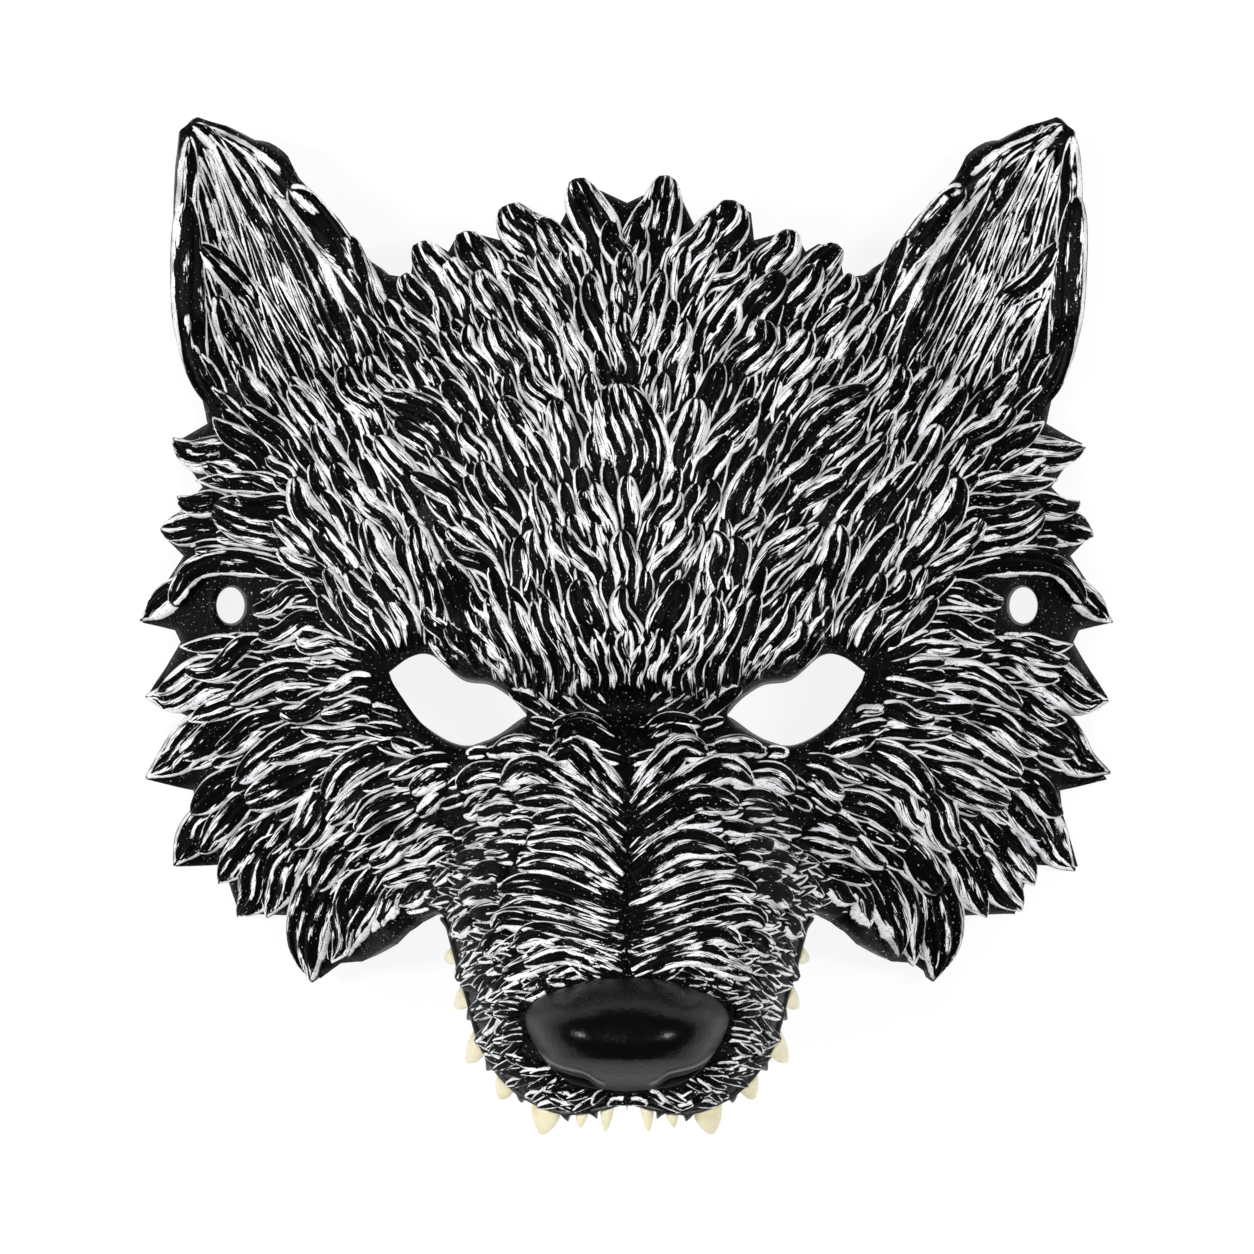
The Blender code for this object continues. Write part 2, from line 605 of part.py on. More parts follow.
def tooth_spans():
    """Where each tooth starts and ends along the whole lip, as shares of it, left to right."""
    line, _ = lip_line()
    points = surface(line)[0]
    length = np.linalg.norm(np.diff(points, axis=0), axis=1).sum()
    spans = []
    for place, width, *_ in TEETH:
        half = width * CANINE_WIDTH / 2 / length
        spans.append((place / 2 - half, place / 2 + half))
    return spans + [(1 - b, 1 - a) for a, b in spans[::-1]]


def web_height(shares):
    """How far the gum's webs reach out between the teeth."""
    spans = tooth_spans()
    height = np.zeros(len(shares))
    for (_, left_end), (right_start, _) in zip(spans, spans[1:]):
        middle = (left_end + right_start) / 2
        half = (right_start - left_end) / 2
        room = min(half * .6, .007)
        height = np.maximum(height, np.clip(1 - np.abs(shares - middle) / room, 0, 1))
    return height * GUM_WEB


def build_gum():
    """The dark strip along the edge of the lip, with a pointed web between each two teeth."""
    line, tangents = lip_line()
    points, _, normals, out = lip_frames(line, tangents)
    stations = slice(2, len(line) - 2)
    shares = np.linspace(0, 1, len(line))[stations]
    points, normals, out = points[stations], normals[stations], out[stations]
    inset = WALL / 16
    rows = []
    crest = GAP + GUM_HEIGHT + web_height(shares)[:, None]
    for depth, reach in ((inset, GAP), (inset, crest), (WALL - inset, crest), (WALL - inset, GAP)):
        rows.append(points - normals * depth + out * reach)
    rows = np.stack(rows, axis=1).reshape(-1, 3)
    faces = []
    count = len(points)
    for k in range(count - 1):
        for corner in range(4):
            a, b = 4 * k + corner, 4 * k + (corner + 1) % 4
            faces += [(a, b, a + 4), (b, b + 4, a + 4)]
    last = 4 * (count - 1)
    faces += [(0, 2, 1), (0, 3, 2), (last, last + 1, last + 2), (last, last + 2, last + 3)]
    return add_object("gum_strip", rows, faces, paint("gum_black", (.02, .02, .02), .5))


def tooth_mesh(row, flip):
    """Rings from the gum to the tip, with the tip where the table says."""
    place, width, tip_u, tip_v, tip_w = row
    line, tangents = lip_line()
    at = place / 2 * (len(line) - 1)
    k = int(at)
    centre = line[k] + (line[k + 1] - line[k]) * (at - k)
    points, runs, normals, out = lip_frames(centre[None], tangents[k][None])
    root = points[0] - normals[0] * WALL / 2 + out[0] * (2 * GAP + GUM_HEIGHT)
    tip = np.array([tip_u / 100 * HALF_WIDTH, tip_v / 100 * HALF_HEIGHT, tip_w * MASK_DEPTH])
    wide = width * CANINE_WIDTH / 2
    thick = min(wide, WALL / 2) * .95
    rings = []
    for share, size in TOOTH_FORM:
        middle = root + (tip - root) * share + out[0] * math.sin(share * math.pi) * wide * .12
        for side in range(TOOTH_SIDES):
            turn = 2 * math.pi * side / TOOTH_SIDES
            around = runs[0] * wide * math.cos(turn) + normals[0] * thick * math.sin(turn)
            rings.append(middle + size * around)
    rings = np.array(rings + [tip, root]) * (flip, 1, 1)
    faces = []
    top = TOOTH_SIDES * (len(TOOTH_FORM) - 1)
    for side in range(TOOTH_SIDES):
        after = (side + 1) % TOOTH_SIDES
        for ring in range(len(TOOTH_FORM) - 1):
            a, b = ring * TOOTH_SIDES + side, ring * TOOTH_SIDES + after
            faces += [(a, b, a + TOOTH_SIDES), (b, b + TOOTH_SIDES, a + TOOTH_SIDES)]
        faces.append((top + side, top + after, len(rings) - 2))
        faces.append((after, side, len(rings) - 1))
    faces = np.array(faces)
    return rings, faces if flip > 0 else faces[:, ::-1]


def build_teeth():
    """Seven teeth on each side."""
    material = paint("tooth_ivory", (.82, .76, .55), .38)
    for number, row in enumerate(TEETH, start=1):
        for side_name, flip in (("left", 1), ("right", -1)):
            add_object(f"tooth_{side_name}_{number}", *tooth_mesh(row, flip), material)


def main():
    """Clear the scene and build every piece."""
    for item in list(bpy.data.objects):
        bpy.data.objects.remove(item, do_unlink=True)
    verts, faces = build_shell()
    build_nose(verts, faces)
    build_gum()
    build_teeth()


main()
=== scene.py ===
"""Looks of the half-face wolf mask: black foam with fur brushed silver, a glossy nose and ivory teeth.

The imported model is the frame. +X is the viewer's right, +Y runs up to the ears and +Z comes out of the face.
u, v and w are shares of the half width, the half height and the depth. Tables give u and v in percent
for the viewer's left half, and the right half is its mirror image.
"""
import math

import bpy
import numpy as np
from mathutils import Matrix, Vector, geometry


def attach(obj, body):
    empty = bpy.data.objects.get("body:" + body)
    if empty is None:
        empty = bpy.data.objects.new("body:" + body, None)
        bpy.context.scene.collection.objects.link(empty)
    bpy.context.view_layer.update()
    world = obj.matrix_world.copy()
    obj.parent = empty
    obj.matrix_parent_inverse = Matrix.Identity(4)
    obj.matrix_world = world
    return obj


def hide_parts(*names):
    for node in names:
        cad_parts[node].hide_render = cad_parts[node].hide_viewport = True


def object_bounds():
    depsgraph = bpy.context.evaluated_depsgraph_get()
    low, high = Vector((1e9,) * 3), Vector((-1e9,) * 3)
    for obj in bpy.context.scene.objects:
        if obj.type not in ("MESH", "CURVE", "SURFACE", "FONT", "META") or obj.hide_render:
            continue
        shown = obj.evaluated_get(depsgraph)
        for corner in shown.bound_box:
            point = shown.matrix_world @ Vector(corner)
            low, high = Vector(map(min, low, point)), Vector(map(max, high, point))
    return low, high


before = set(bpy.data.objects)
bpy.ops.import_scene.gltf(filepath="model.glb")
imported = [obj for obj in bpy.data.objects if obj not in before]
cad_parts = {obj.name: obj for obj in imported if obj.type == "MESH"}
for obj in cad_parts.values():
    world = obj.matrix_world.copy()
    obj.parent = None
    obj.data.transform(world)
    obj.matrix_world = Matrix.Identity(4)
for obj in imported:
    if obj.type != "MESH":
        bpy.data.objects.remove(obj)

LOW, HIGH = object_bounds()
WIDTH, HEIGHT, DEPTH = HIGH - LOW
HALF_WIDTH = WIDTH / 2
HALF_HEIGHT = HEIGHT / 2

# Sizes of the moulding, in metres
WALL = 0.004
TIP_THICKNESS = 0.003
WRAP_DEPTH = 0.063
STRAP_HOLE_FRONT = 0.0112
STRAP_HOLE_BACK = 0.0100
NOSE_EDGE = 0.0015
NOSTRIL_DEPTH = 0.0030
NOSE_LOBE = 0.0011
NOSE_RIM = 0.0009
GUM_HEIGHT = 0.0012
GUM_WEB = 0.0030
CANINE_WIDTH = 0.0082
GAP = 0.0003

# Sizes of the fur, in metres
LOCK_HEIGHT = 0.0040
STRAND_PITCH = 0.0031
STRAND_DEPTH = 0.0009
RIM_PLACE = 0.0007
RIM_REACH = 0.00040
LOCK_STEP = 0.00125
SKIRT = 0.0016
UNDER_SPACING = 0.0070
LIP_SPACING = 0.0028

# How much silver the under layer takes, by its group
UNDER_LEVELS = {"face": .7, "muzzle": .8, "ear": .36, "lip": .28}

# Spacing of the skin, in metres
SKIN_STEP = 0.0019
BACK_STEP = 0.004
EDGE_STEP = 0.0015
ROUND_EDGE = 0.0013

# The bare face down its middle: v, w
FACE = [(1.00, .19), (.85, .27), (.67, .35), (.45, .43), (.22, .485), (0, .505),
        (-.15, .48), (-.34, .44), (-.56, .36), (-.75, .265), (-1.00, .16)]

# The muzzle: v, w of its side, w of its bridge, half width u
MUZZLE = [(-.16, .478, .478, .20), (-.26, .455, .528, .24), (-.375, .425, .616, .30),
          (-.49, .385, .700, .36), (-.56, .375, .755, .395), (-.62, .420, .800, .385),
          (-.75, .530, .870, .350), (-.85, .640, .895, .315), (-.92, .725, .850, .250),
          (-.96, .780, .810, .170)]

# A section across the muzzle: share of its half width, share of its rise
MUZZLE_SECTION = [(0, 1), (.35, .965), (.6, .85), (.8, .60), (.95, .28), (1.1, .08), (1.3, 0)]

# The inner edge of the ear: v, u
EAR_INNER_EDGE = [(.40, .50), (.60, .50), (.71, .524), (.804, .579), (.914, .660), (1, .735)]

# A section across the ear from its outer edge: share of its width, w over its middle plane
EAR_SECTION = [(0, .045), (.12, .025), (.4, -.06), (.65, -.035), (.83, .055), (1, .005)]

# Hollows and swells of the face: centre u, v, half lengths u, v, height w
FACE_FORMS = {
    "brow": (.28, -.03, .26, .10, .050),
    "eye_socket": (.34, -.19, .17, .085, -.075),
    "stop": (0, -.175, .16, .035, -.030),
    "inner_eye_corner": (.17, -.20, .06, .05, -.020),
}

# The outline from the crown to the lip
CROWN_EDGE = [(0, 82.4), (-9.5, 86.8), (-13.7, 78), (-20, 81.2), (-23, 81.7), (-25.4, 80.5),
              (-26, 75), (-31.5, 76.5), (-35.4, 75), (-36.6, 72.8), (-39.2, 74.4),
              (-41.7, 74.2), (-43.8, 71.4), (-44.4, 67.6)]
EAR_EDGE = [(-49.7, 68.4), (-52.4, 71), (-58.4, 79.6), (-67.8, 88.8), (-75.4, 93.8), (-82.5, 98.2),
            (-87.7, 100), (-91.3, 97.4), (-91.8, 87.4), (-91.8, 73.4), (-91.1, 57.5),
            (-88.7, 47.5), (-86.7, 39)]
SIDE_EDGE = [(-94, 35), (-87.6, 26.2), (-92, 22), (-95.7, 16.2), (-91.6, 12.4), (-95, 7.5),
             (-100, -1), (-93.4, -2.6), (-92.2, -5), (-99.2, -16.1), (-91, -19.8), (-93.7, -25.2),
             (-99, -32.5), (-89.6, -34.8), (-90, -39.6), (-93, -50), (-83.5, -49.7),
             (-81.8, -55), (-80.1, -59.6), (-69.2, -59.8), (-65.8, -68.8), (-63.4, -72.5),
             (-59, -69.3), (-54.7, -68.8), (-49.4, -64.7), (-46.5, -61.4), (-43.6, -59.1)]
LIP_EDGE = [(-41, -58), (-38.6, -57.9), (-36.6, -60), (-35.8, -62.5), (-34.1, -68.2),
            (-32.2, -74.2), (-30.2, -80.8), (-28.4, -84.6), (-24.9, -89.3), (-19.7, -93.2),
            (-12.7, -95.4), (-5.8, -94.7), (0, -93.1)]
EYE_EDGE = [(-48.4, -11), (-43.5, -7.9), (-39.1, -7.8), (-33.2, -12.3), (-26.9, -13.5),
            (-20.3, -18.8), (-26.3, -23.5), (-33.4, -25.3), (-40.9, -21.7), (-46.9, -14.3)]
STRAP_HOLE = (-81.3, 2.4)
NOSE_OUTLINE = [(0, -69.3), (-6, -69.5), (-12, -71.2), (-17.4, -73.3), (-20, -76.5),
                (-19.6, -79.5), (-17.5, -83.2), (-14, -87.4), (-9, -90), (0, -91)]

# The upper rim of the nostril: u, v
NOSTRIL_RIM = [(0, -.895), (.04, -.894), (.056, -.890), (.085, -.872), (.13, -.862), (.155, -.850), (.19, -.82),
               (.22, -.78)]

# The nose down its middle: v, w
NOSE_PROFILE = [(-.69, .90), (-.72, .943), (-.75, .972), (-.78, .989), (-.81, .995), (-.84, .984), (-.87, .948),
                (-.90, .897), (-.915, .875)]

# Locks of fur: width in percent of the half width, then u and v of the tip, of any bends and of the root
CROWN_LOCKS = [
    (9, -9.5, 86.8, -6, 68), (5, -5, 82.7, 0.5, 66), (10, -23, 81.7, -16, 68), (8, -31.5, 76.5, -28, 64),
    (8, -41.7, 74.2, -36, 60), (4, -23.7, 70.5, -14, 61), (6, -24, 67.3, -20, 62, -15.5, 55, -14, 45),
    (5, -22.5, 62.5, -15, 46), (4, -11.7, 73.3, -11, 60), (6, -7.8, 67.5, -2.5, 47), (5, 0, 72, 0, 58),
    (5, -11.7, 58, -9, 44), (8, -27.5, 58.5, -22, 42), (4, -31.3, 57.6, -28, 43), (5, -35.4, 57, -28, 42),
    (4, -37.7, 56.3, -30, 40), (5, -44.8, 61.3, -38, 52), (4, -39.5, 51, -29, 37), (7, -17, 79, -10, 64),
    (7, -37, 70, -31, 57), (7, -31, 68, -24, 56), (6, -17, 72, -12, 58), (5, -4, 62, -1, 46),
    (6, -45, 68, -40, 56), (6, -2, 78, 0, 64),
]
BROW_LOCKS = [
    (7, -25.5, 43, -17, 26), (4, -23, 37.6, -17, 29), (7, -14, 43, -11.5, 25), (7, -28, 31, -22, 14),
    (5, -31.8, 28.2, -26, 15), (4, -32.2, 38.4, -29, 28), (8, -49, 44, -40, 40, -35, 35, -32, 28),
    (6, -46.5, 39.5, -38, 29), (5, -43.5, 28, -32, 19.5), (6, -51, 35, -42, 22),
    (5, -35.5, 18, -26, 8), (5, -36, 15, -25.5, 5), (4, -31, 5, -24, -5), (5, -21.8, 16.2, -23, 3),
    (5, -18, 17, -19.5, 4), (5, -14, 18.7, -10.5, 6.5), (5, -12, 18, -4.5, 3.5), (7, -10.6, 7.3, -6, -6),
    (5, -9.5, 25, -6, 15), (4, -6.3, 26.5, -3, 14.5), (6, -19, 50, -15, 36), (5, -8, 48, -7, 34),
    (6, -36, 47, -31, 36), (5, -17, 27, -15, 14), (6, -20, 36, -14, 24), (4, -27, 22, -22, 12),
    (6, -38, 32, -32, 22),
]
FRINGE_LOCKS = [
    (7, -43, 18.5, -39, -5), (8, -37, 11, -31, -8.5), (6, -32, 3, -25, -11.5), (5, -27, 4, -21, -13.5),
    (5, -23, 3, -17, -15.5), (4, -19.3, 3.2, -14.5, -15.5), (5, -17, 4, -12, -15), (4, -14, -2, -9.5, -15),
    (4, -10, -3, -7, -14.5), (4, -7.3, -3.2, -4, -14), (3, -0.7, -1.6, -0.5, -14), (4, -4, -5, -2, -14),
    (5, -36, -1, -29, -10), (4, -29, -4, -23.5, -12.5), (5, -47, 6, -43, -6), (4, -41, 2, -35, -7),
    (4, -51, 2, -46.5, -7.5),
]
CENTRE_LOCKS = [
    (14, 0, 46, -0.5, 23), (6, 0, 17, -1, 4), (5, 0, 28, 0, 14), (5, 0, 6, 0, -9), (6, 0, 60, 0, 44),
]
TEMPLE_LOCKS = [
    (8, -94, 35, -74, 28), (5, -88, 27, -68, 24), (6, -85, 39.5, -72, 27), (6, -77.5, 42.5, -67, 29),
    (3, -72, 32.5, -68, 26), (6, -69, 45, -61, 30), (6, -62.5, 38.5, -56, 18), (7, -66, 28, -59, 5),
    (11, -84, 22, -63, 12), (4, -79, 24.5, -65, 20), (8, -95.5, 17, -84, 18), (3, -88, 13, -80, 12.5),
    (6, -92, 2, -88, 9, -80, 11, -65, 9), (5, -76, 2, -63, 5.5), (5, -74.5, -3, -60, -1),
    (4, -91.5, -5.5, -76, -6), (6, -100, -1, -88, 8), (5, -90, -9.5, -70, -6), (4, -88, -11, -72, -10),
    (4, -67, -5, -56, -7), (3, -64, -8, -56, -10), (6, -80.5, -17.5, -70, -11, -58, -12),
    (4, -62.5, -15, -50, -13), (6, -53.5, 19, -44, -4), (5, -55.5, 9.5, -46, -5), (6, -58, 5, -48, -8),
    (5, -60, 10, -53, -8), (6, -58, 31, -50, 14), (5, -54, 27, -46, 12), (6, -71, 20, -62, 8),
    (6, -62, 20, -56, 4), (5, -86, 31, -74, 22), (6, -92, 24, -80, 20), (5, -70, 14, -58, 5),
    (5, -50, 9, -45, -5),
]
CHEEK_LOCKS = [
    (9, -99.2, -16.1, -78, -12), (9, -99, -32.4, -78, -19), (7, -90.8, -28, -75.5, -20),
    (7, -79.5, -32, -73.5, -27, -66, -22.5, -59, -21), (4, -66, -22, -46, -24.5), (5, -72.5, -28, -54, -24.5),
    (7, -61.2, -35.5, -56.3, -29.5, -47, -25.5), (9, -76.6, -37.8, -59, -30), (9, -67.5, -44.5, -58, -33),
    (6, -54.5, -42.5, -49.5, -37.5, -40, -35), (4, -42.5, -38.5, -36, -34), (7, -90, -38.5, -78.5, -31.5),
    (8, -93, -50, -80, -38), (6, -89.5, -48, -77, -36), (8, -83, -54, -72, -40), (9, -80.3, -59.5, -68, -44),
    (8, -72.5, -60, -66, -44), (10, -63.5, -72.5, -64.5, -60, -60, -46), (7, -64, -53.5, -54.5, -43.5),
    (7, -59.3, -69, -55, -50), (8, -55.7, -67.5, -54.5, -59.5, -49.7, -50), (5, -48, -62, -46, -52),
    (5, -49.3, -52.5, -36, -50), (4, -45, -47, -33, -44.5), (4, -48, -24.5, -40, -28), (4, -48, -32, -34, -28),
    (3, -52, -17, -46, -20), (6, -90, -20, -74, -16), (6, -84, -26, -70, -20), (5, -70, -18, -56, -18),
    (5, -62, -19, -50, -19), (6, -85, -44, -74, -34), (5, -60, -41, -52, -33), (5, -47, -43, -37, -39),
    (5, -52, -49, -42, -43), (5, -46, -57, -38, -52), (5, -44, -34, -35, -31),
]
EAR_LOCKS = [
    (6, -73.5, 87, -68.3, 79, -64.6, 72.8, -61, 64.3, -57.8, 55.5, -52.7, 40.5),
    (6, -68, 86.5, -57, 70.5, -48, 57), (5, -58, 76, -53, 67, -49, 58), (5, -84, 96, -76, 88, -64.5, 64, -60.5, 51),
    (5, -86, 95, -64, 52), (6, -88, 75, -74, 52), (7, -91, 84, -88.5, 52, -84, 42), (6, -85, 64, -76, 44),
    (5, -90.5, 96, -90, 76, -88, 58), (5, -87.5, 97, -77, 91.5, -68, 84), (5, -80, 50, -71, 36),
    (6, -52, 52, -45, 38), (6, -57, 50, -50, 34), (5, -62, 50, -56, 34), (5, -68, 48, -61, 36),
    (5, -48, 58, -42, 46), (4, -89.5, 98, -85, 95, -80, 90),
]
# Long strands that fill the dish of the ear, from its base to its tip: first and last root, first and last tip
EAR_FANS = [
    ((-80, 46), (-61, 50), (-89, 72), (-76, 84)), ((-84, 62), (-66, 66), (-90, 91), (-84, 95.5)),
    ((-73, 40), (-57, 44), (-84, 62), (-70, 72)),
]
MUZZLE_LOCKS = [
    (4, -15, -22.3, -8.3, -20.5, -2.3, -24.5), (5, -13.5, -25.5, -9.5, -22.5, -2.5, -25),
    (7, -16.2, -27.3, -11, -25.8, -7.7, -28.5, -0.8, -36.5), (5, -26.7, -27.5, -22.3, -25.5, -15.9, -26.5),
    (7, -25.5, -32.3, -17.5, -29.5, -0.8, -40.5), (6, -34.5, -33.5, -29.9, -31, -24, -31),
    (7, -22.3, -37, -13, -36, -0.8, -43), (4, -29.9, -36.5, -23.5, -35), (6, -19, -40.2, -10, -39.5, -0.8, -46.5),
    (4, -25.3, -42, -17.7, -41), (7, -19.8, -45.5, -10.6, -44.3, -0.8, -50.3), (4, -33, -44.5, -25.8, -42.5),
    (6, -21.8, -49.8, -13.5, -48.5, -0.8, -53.5), (5, -34, -49, -29, -47.5, -25, -48),
    (6, -25.9, -53, -17.6, -52, -0.8, -57), (6, -25.3, -57, -17.7, -55, -0.8, -60),
    (5, -32.7, -56, -28.7, -53.5, -24.1, -54), (6, -26.5, -61, -21.8, -58.5, -0.8, -63),
    (6, -22.1, -64, -16.5, -61.5, -0.8, -65.5), (5, -28.7, -65, -23.5, -62), (4, -34, -62, -30.5, -59),
    (6, -20.6, -67, -12, -64.5, -0.8, -68), (5, -24.7, -69, -16, -66, -12, -66), (5, -30, -39, -22, -38),
    (5, -33, -39, -27, -36), (5, -29, -46, -21, -45), (5, -31, -51, -24, -50), (5, -30, -59, -24, -57),
]

# A lock along its length from the root: share of length, share of half width, share of height
LOCK_FORM = [(0, .55, .03), (.25, .86, .32), (.5, 1, .70), (.72, .92, .95), (.86, .76, 1), (.94, .55, .92),
             (.98, .34, .75), (1, .14, .40)]

# A lock with a sharp tip, for those that end at the outline
SHARP_FORM = [(0, .55, .03), (.25, .86, .32), (.5, 1, .70), (.68, .90, .92), (.80, .66, .95), (.90, .38, .80),
              (.97, .16, .60), (1, .06, .40)]

# A lock that is as full at its root as at its tip
FULL_FORM = [(0, .80, .42), (.12, .88, .62), (.25, .95, .75), (.5, 1, .88), (.72, .92, 1), (.86, .76, .97),
             (.94, .55, .88), (.98, .34, .70), (1, .14, .35)]

# Where silver is brushed on thicker or thinner: u, v, half lengths u, v, gain
BRUSHING = [
    (-18, -6, 30, 9, -.06), (0, 35, 24, 12, .06), (-66, 66, 14, 26, -.18), (0, -42, 22, 20, -.06),
    (-81, 4, 10, 10, -.35), (-40, -60, 8, 8, -.30), (-12, -22, 14, 5, -.35), (-52, -14, 9, 6, -.2),
    (-60, -40, 12, 14, .05),
]

# Teeth from the back of the jaw: place along the lip, width over the canine's, tip u, v and w
TEETH = [
    (.163, .70, -36.8, -67.6, .36), (.286, .85, -34.6, -76.5, .46), (.431, 1.05, -32.2, -86.7, .55),
    (.585, .80, -25.4, -93.3, .68), (.737, 1.0, -17.0, -100, .725), (.850, .42, -9.3, -98.4, .775),
    (.928, .46, -4.3, -99.2, .78),
]
# A tooth along its length: share of length, share of width
TOOTH_FORM = [(0, 1), (.15, .985), (.3, .92), (.6, .68), (.85, .36), (.95, .2)]
TOOTH_SIDES = 28
TOOTH_RINGS = 18
LIP_STATIONS = 110


def smooth(low, high, value):
    """Rise from 0 at low to 1 at high with level ends."""
    share = np.clip((value - low) / (high - low), 0, 1)
    return share * share * (3 - 2 * share)


def curve(rows, column, at):
    """Read a table's column at its first column's value along a smooth curve without overshoot."""
    rows = sorted(rows)
    x = np.array([row[0] for row in rows], float)
    y = np.array([row[column] for row in rows], float)
    step = np.diff(x)
    slope = np.diff(y) / step
    before, after = slope[:-1], slope[1:]
    total = np.where(before + after == 0, 1, before + after)
    tangent = np.zeros(len(x))
    tangent[1:-1] = np.where(before * after > 0, 2 * before * after / total, 0)
    tangent[0] = slope[0]
    tangent[-1] = slope[-1]
    at = np.asarray(at, float)
    i = np.clip(np.searchsorted(x, at) - 1, 0, len(step) - 1)
    t = np.clip((at - x[i]) / step[i], 0, 1)
    start = (2 * t ** 3 - 3 * t ** 2 + 1) * y[i] + (t ** 3 - 2 * t ** 2 + t) * step[i] * tangent[i]
    end = (3 * t ** 2 - 2 * t ** 3) * y[i + 1] + (t ** 3 - t ** 2) * step[i] * tangent[i + 1]
    return start + end


def muzzle_height(side, v, face):
    """w of the muzzle at the share side of its run from the middle of the face."""
    blend = smooth(-.16, -.26, v)
    level = face + (curve(MUZZLE, 1, v) - face) * blend
    rise = np.clip(curve(MUZZLE, 2, v) - level, 0, 1) * blend
    return level + rise * curve(MUZZLE_SECTION, 1, side / curve(MUZZLE, 3, v))


def ear_height(side, v):
    """w of the ear, a shallow dish with a ridge along its inner edge."""
    inner = curve(EAR_INNER_EDGE, 1, v)
    across = np.clip((.92 - side) / (.92 - inner), 0, 1)
    shallow = 1 - .75 * smooth(.80, 1, v)
    return .185 - .04 * (v - .5) / .5 + curve(EAR_SECTION, 1, across) * shallow


def base_height(u, v):
    """Height of the bare moulding over the floor at shares u and v."""
    side = np.abs(u)
    face = curve(FACE, 1, v)
    wrap = WRAP_DEPTH / DEPTH * side ** 2
    w = muzzle_height(side, v, face)
    w = w + (face - w) * smooth(.42, .56, side) - wrap
    for at_u, at_v, half_u, half_v, height in FACE_FORMS.values():
        w = w + height * np.exp(-((side - at_u) / half_u) ** 2 - ((v - at_v) / half_v) ** 2)
    ear = smooth(.40, .60, v) * smooth(.45, .60, side)
    w = w + (ear_height(side, v) - w) * ear
    over = w * DEPTH - TIP_THICKNESS
    return TIP_THICKNESS + (over + np.sqrt(over ** 2 + (TIP_THICKNESS / 2) ** 2)) / 2


def plan(points):
    """Percent places to metres in the plan."""
    return np.asarray(points, float) / 100 * (HALF_WIDTH, HALF_HEIGHT)


def surface(places):
    """Points and outward normals of the bare moulding over places in the plan."""
    x, y = places[:, 0], places[:, 1]
    step = 0.0005
    z = base_height(x / HALF_WIDTH, y / HALF_HEIGHT)
    slope_x = (base_height((x + step) / HALF_WIDTH, y / HALF_HEIGHT)
               - base_height((x - step) / HALF_WIDTH, y / HALF_HEIGHT)) / (2 * step)
    slope_y = (base_height(x / HALF_WIDTH, (y + step) / HALF_HEIGHT)
               - base_height(x / HALF_WIDTH, (y - step) / HALF_HEIGHT)) / (2 * step)
    normals = np.column_stack([-slope_x, -slope_y, np.ones_like(x)])
    normals /= np.linalg.norm(normals, axis=1)[:, None]
    return np.column_stack([x, y, z]), normals


def edge_distance(places, loops):
    """Distance in the plan from places to the nearest wall of the loops."""
    nearest = np.full(len(places), 1.0)
    for loop in loops:
        run = np.roll(loop, -1, axis=0) - loop
        is_wall = ~(on_middle(loop) & on_middle(run))
        for start, step in zip(loop[is_wall], run[is_wall]):
            to = places - start
            along = np.clip((to @ step) / (step @ step), 0, 1)
            nearest = np.minimum(nearest, np.linalg.norm(to - along[:, None] * step, axis=1))
    return nearest


def inside(places, loop):
    """Which places lie inside a closed loop."""
    x, y = places[:, 0], places[:, 1]
    result = np.zeros(len(places), bool)
    for a, b in zip(loop, np.roll(loop, -1, axis=0)):
        crosses = (a[1] > y) != (b[1] > y)
        rise = b[1] - a[1] if b[1] != a[1] else 1
        result ^= crosses & (x < a[0] + (b[0] - a[0]) * (y - a[1]) / rise)
    return result


def divided(line, step):
    """A line with its long stretches divided."""
    result = [line[0]]
    for a, b in zip(line[:-1], line[1:]):
        count = max(1, math.ceil(np.linalg.norm(b - a) / step))
        result += [a + (b - a) * (k + 1) / count for k in range(count)]
    return np.array(result)


def rounded(line, count):
    """Points along a smooth curve through a line's points, evenly spaced along it."""
    ends = np.vstack([2 * line[0] - line[1], line, 2 * line[-1] - line[-2]])
    points = []
    for a, b, c, d in zip(ends, ends[1:], ends[2:], ends[3:]):
        for t in np.linspace(0, 1, 8, endpoint=False):
            points.append(b + .5 * t * ((c - a) + t * (2 * a - 5 * b + 4 * c - d + t * (3 * (b - c) + d - a))))
    points = np.vstack(points + [line[-1]])
    length = np.concatenate([[0], np.cumsum(np.linalg.norm(np.diff(points, axis=0), axis=1))])
    at = np.linspace(0, length[-1], count)
    return np.column_stack([np.interp(at, length, points[:, k]) for k in (0, 1)])


def on_middle(places):
    """Which places lie on the mask's middle line."""
    return np.abs(places[:, 0]) < 1e-6


def add_piece(name, points, faces, material, slot, node=None, is_smooth=True):
    """Make one object that rides on the mask, standing for a CAD node if one is named."""
    mesh = bpy.data.meshes.new(name)
    mesh.from_pydata(np.asarray(points).tolist(), [], [tuple(face) for face in faces])
    mesh.update()
    mesh.polygons.foreach_set("use_smooth", [is_smooth] * len(mesh.polygons))
    mesh.materials.append(material)
    item = bpy.data.objects.new(name, mesh)
    bpy.context.scene.collection.objects.link(item)
    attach(item, "root")
    if node:
        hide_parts(node)
    return item


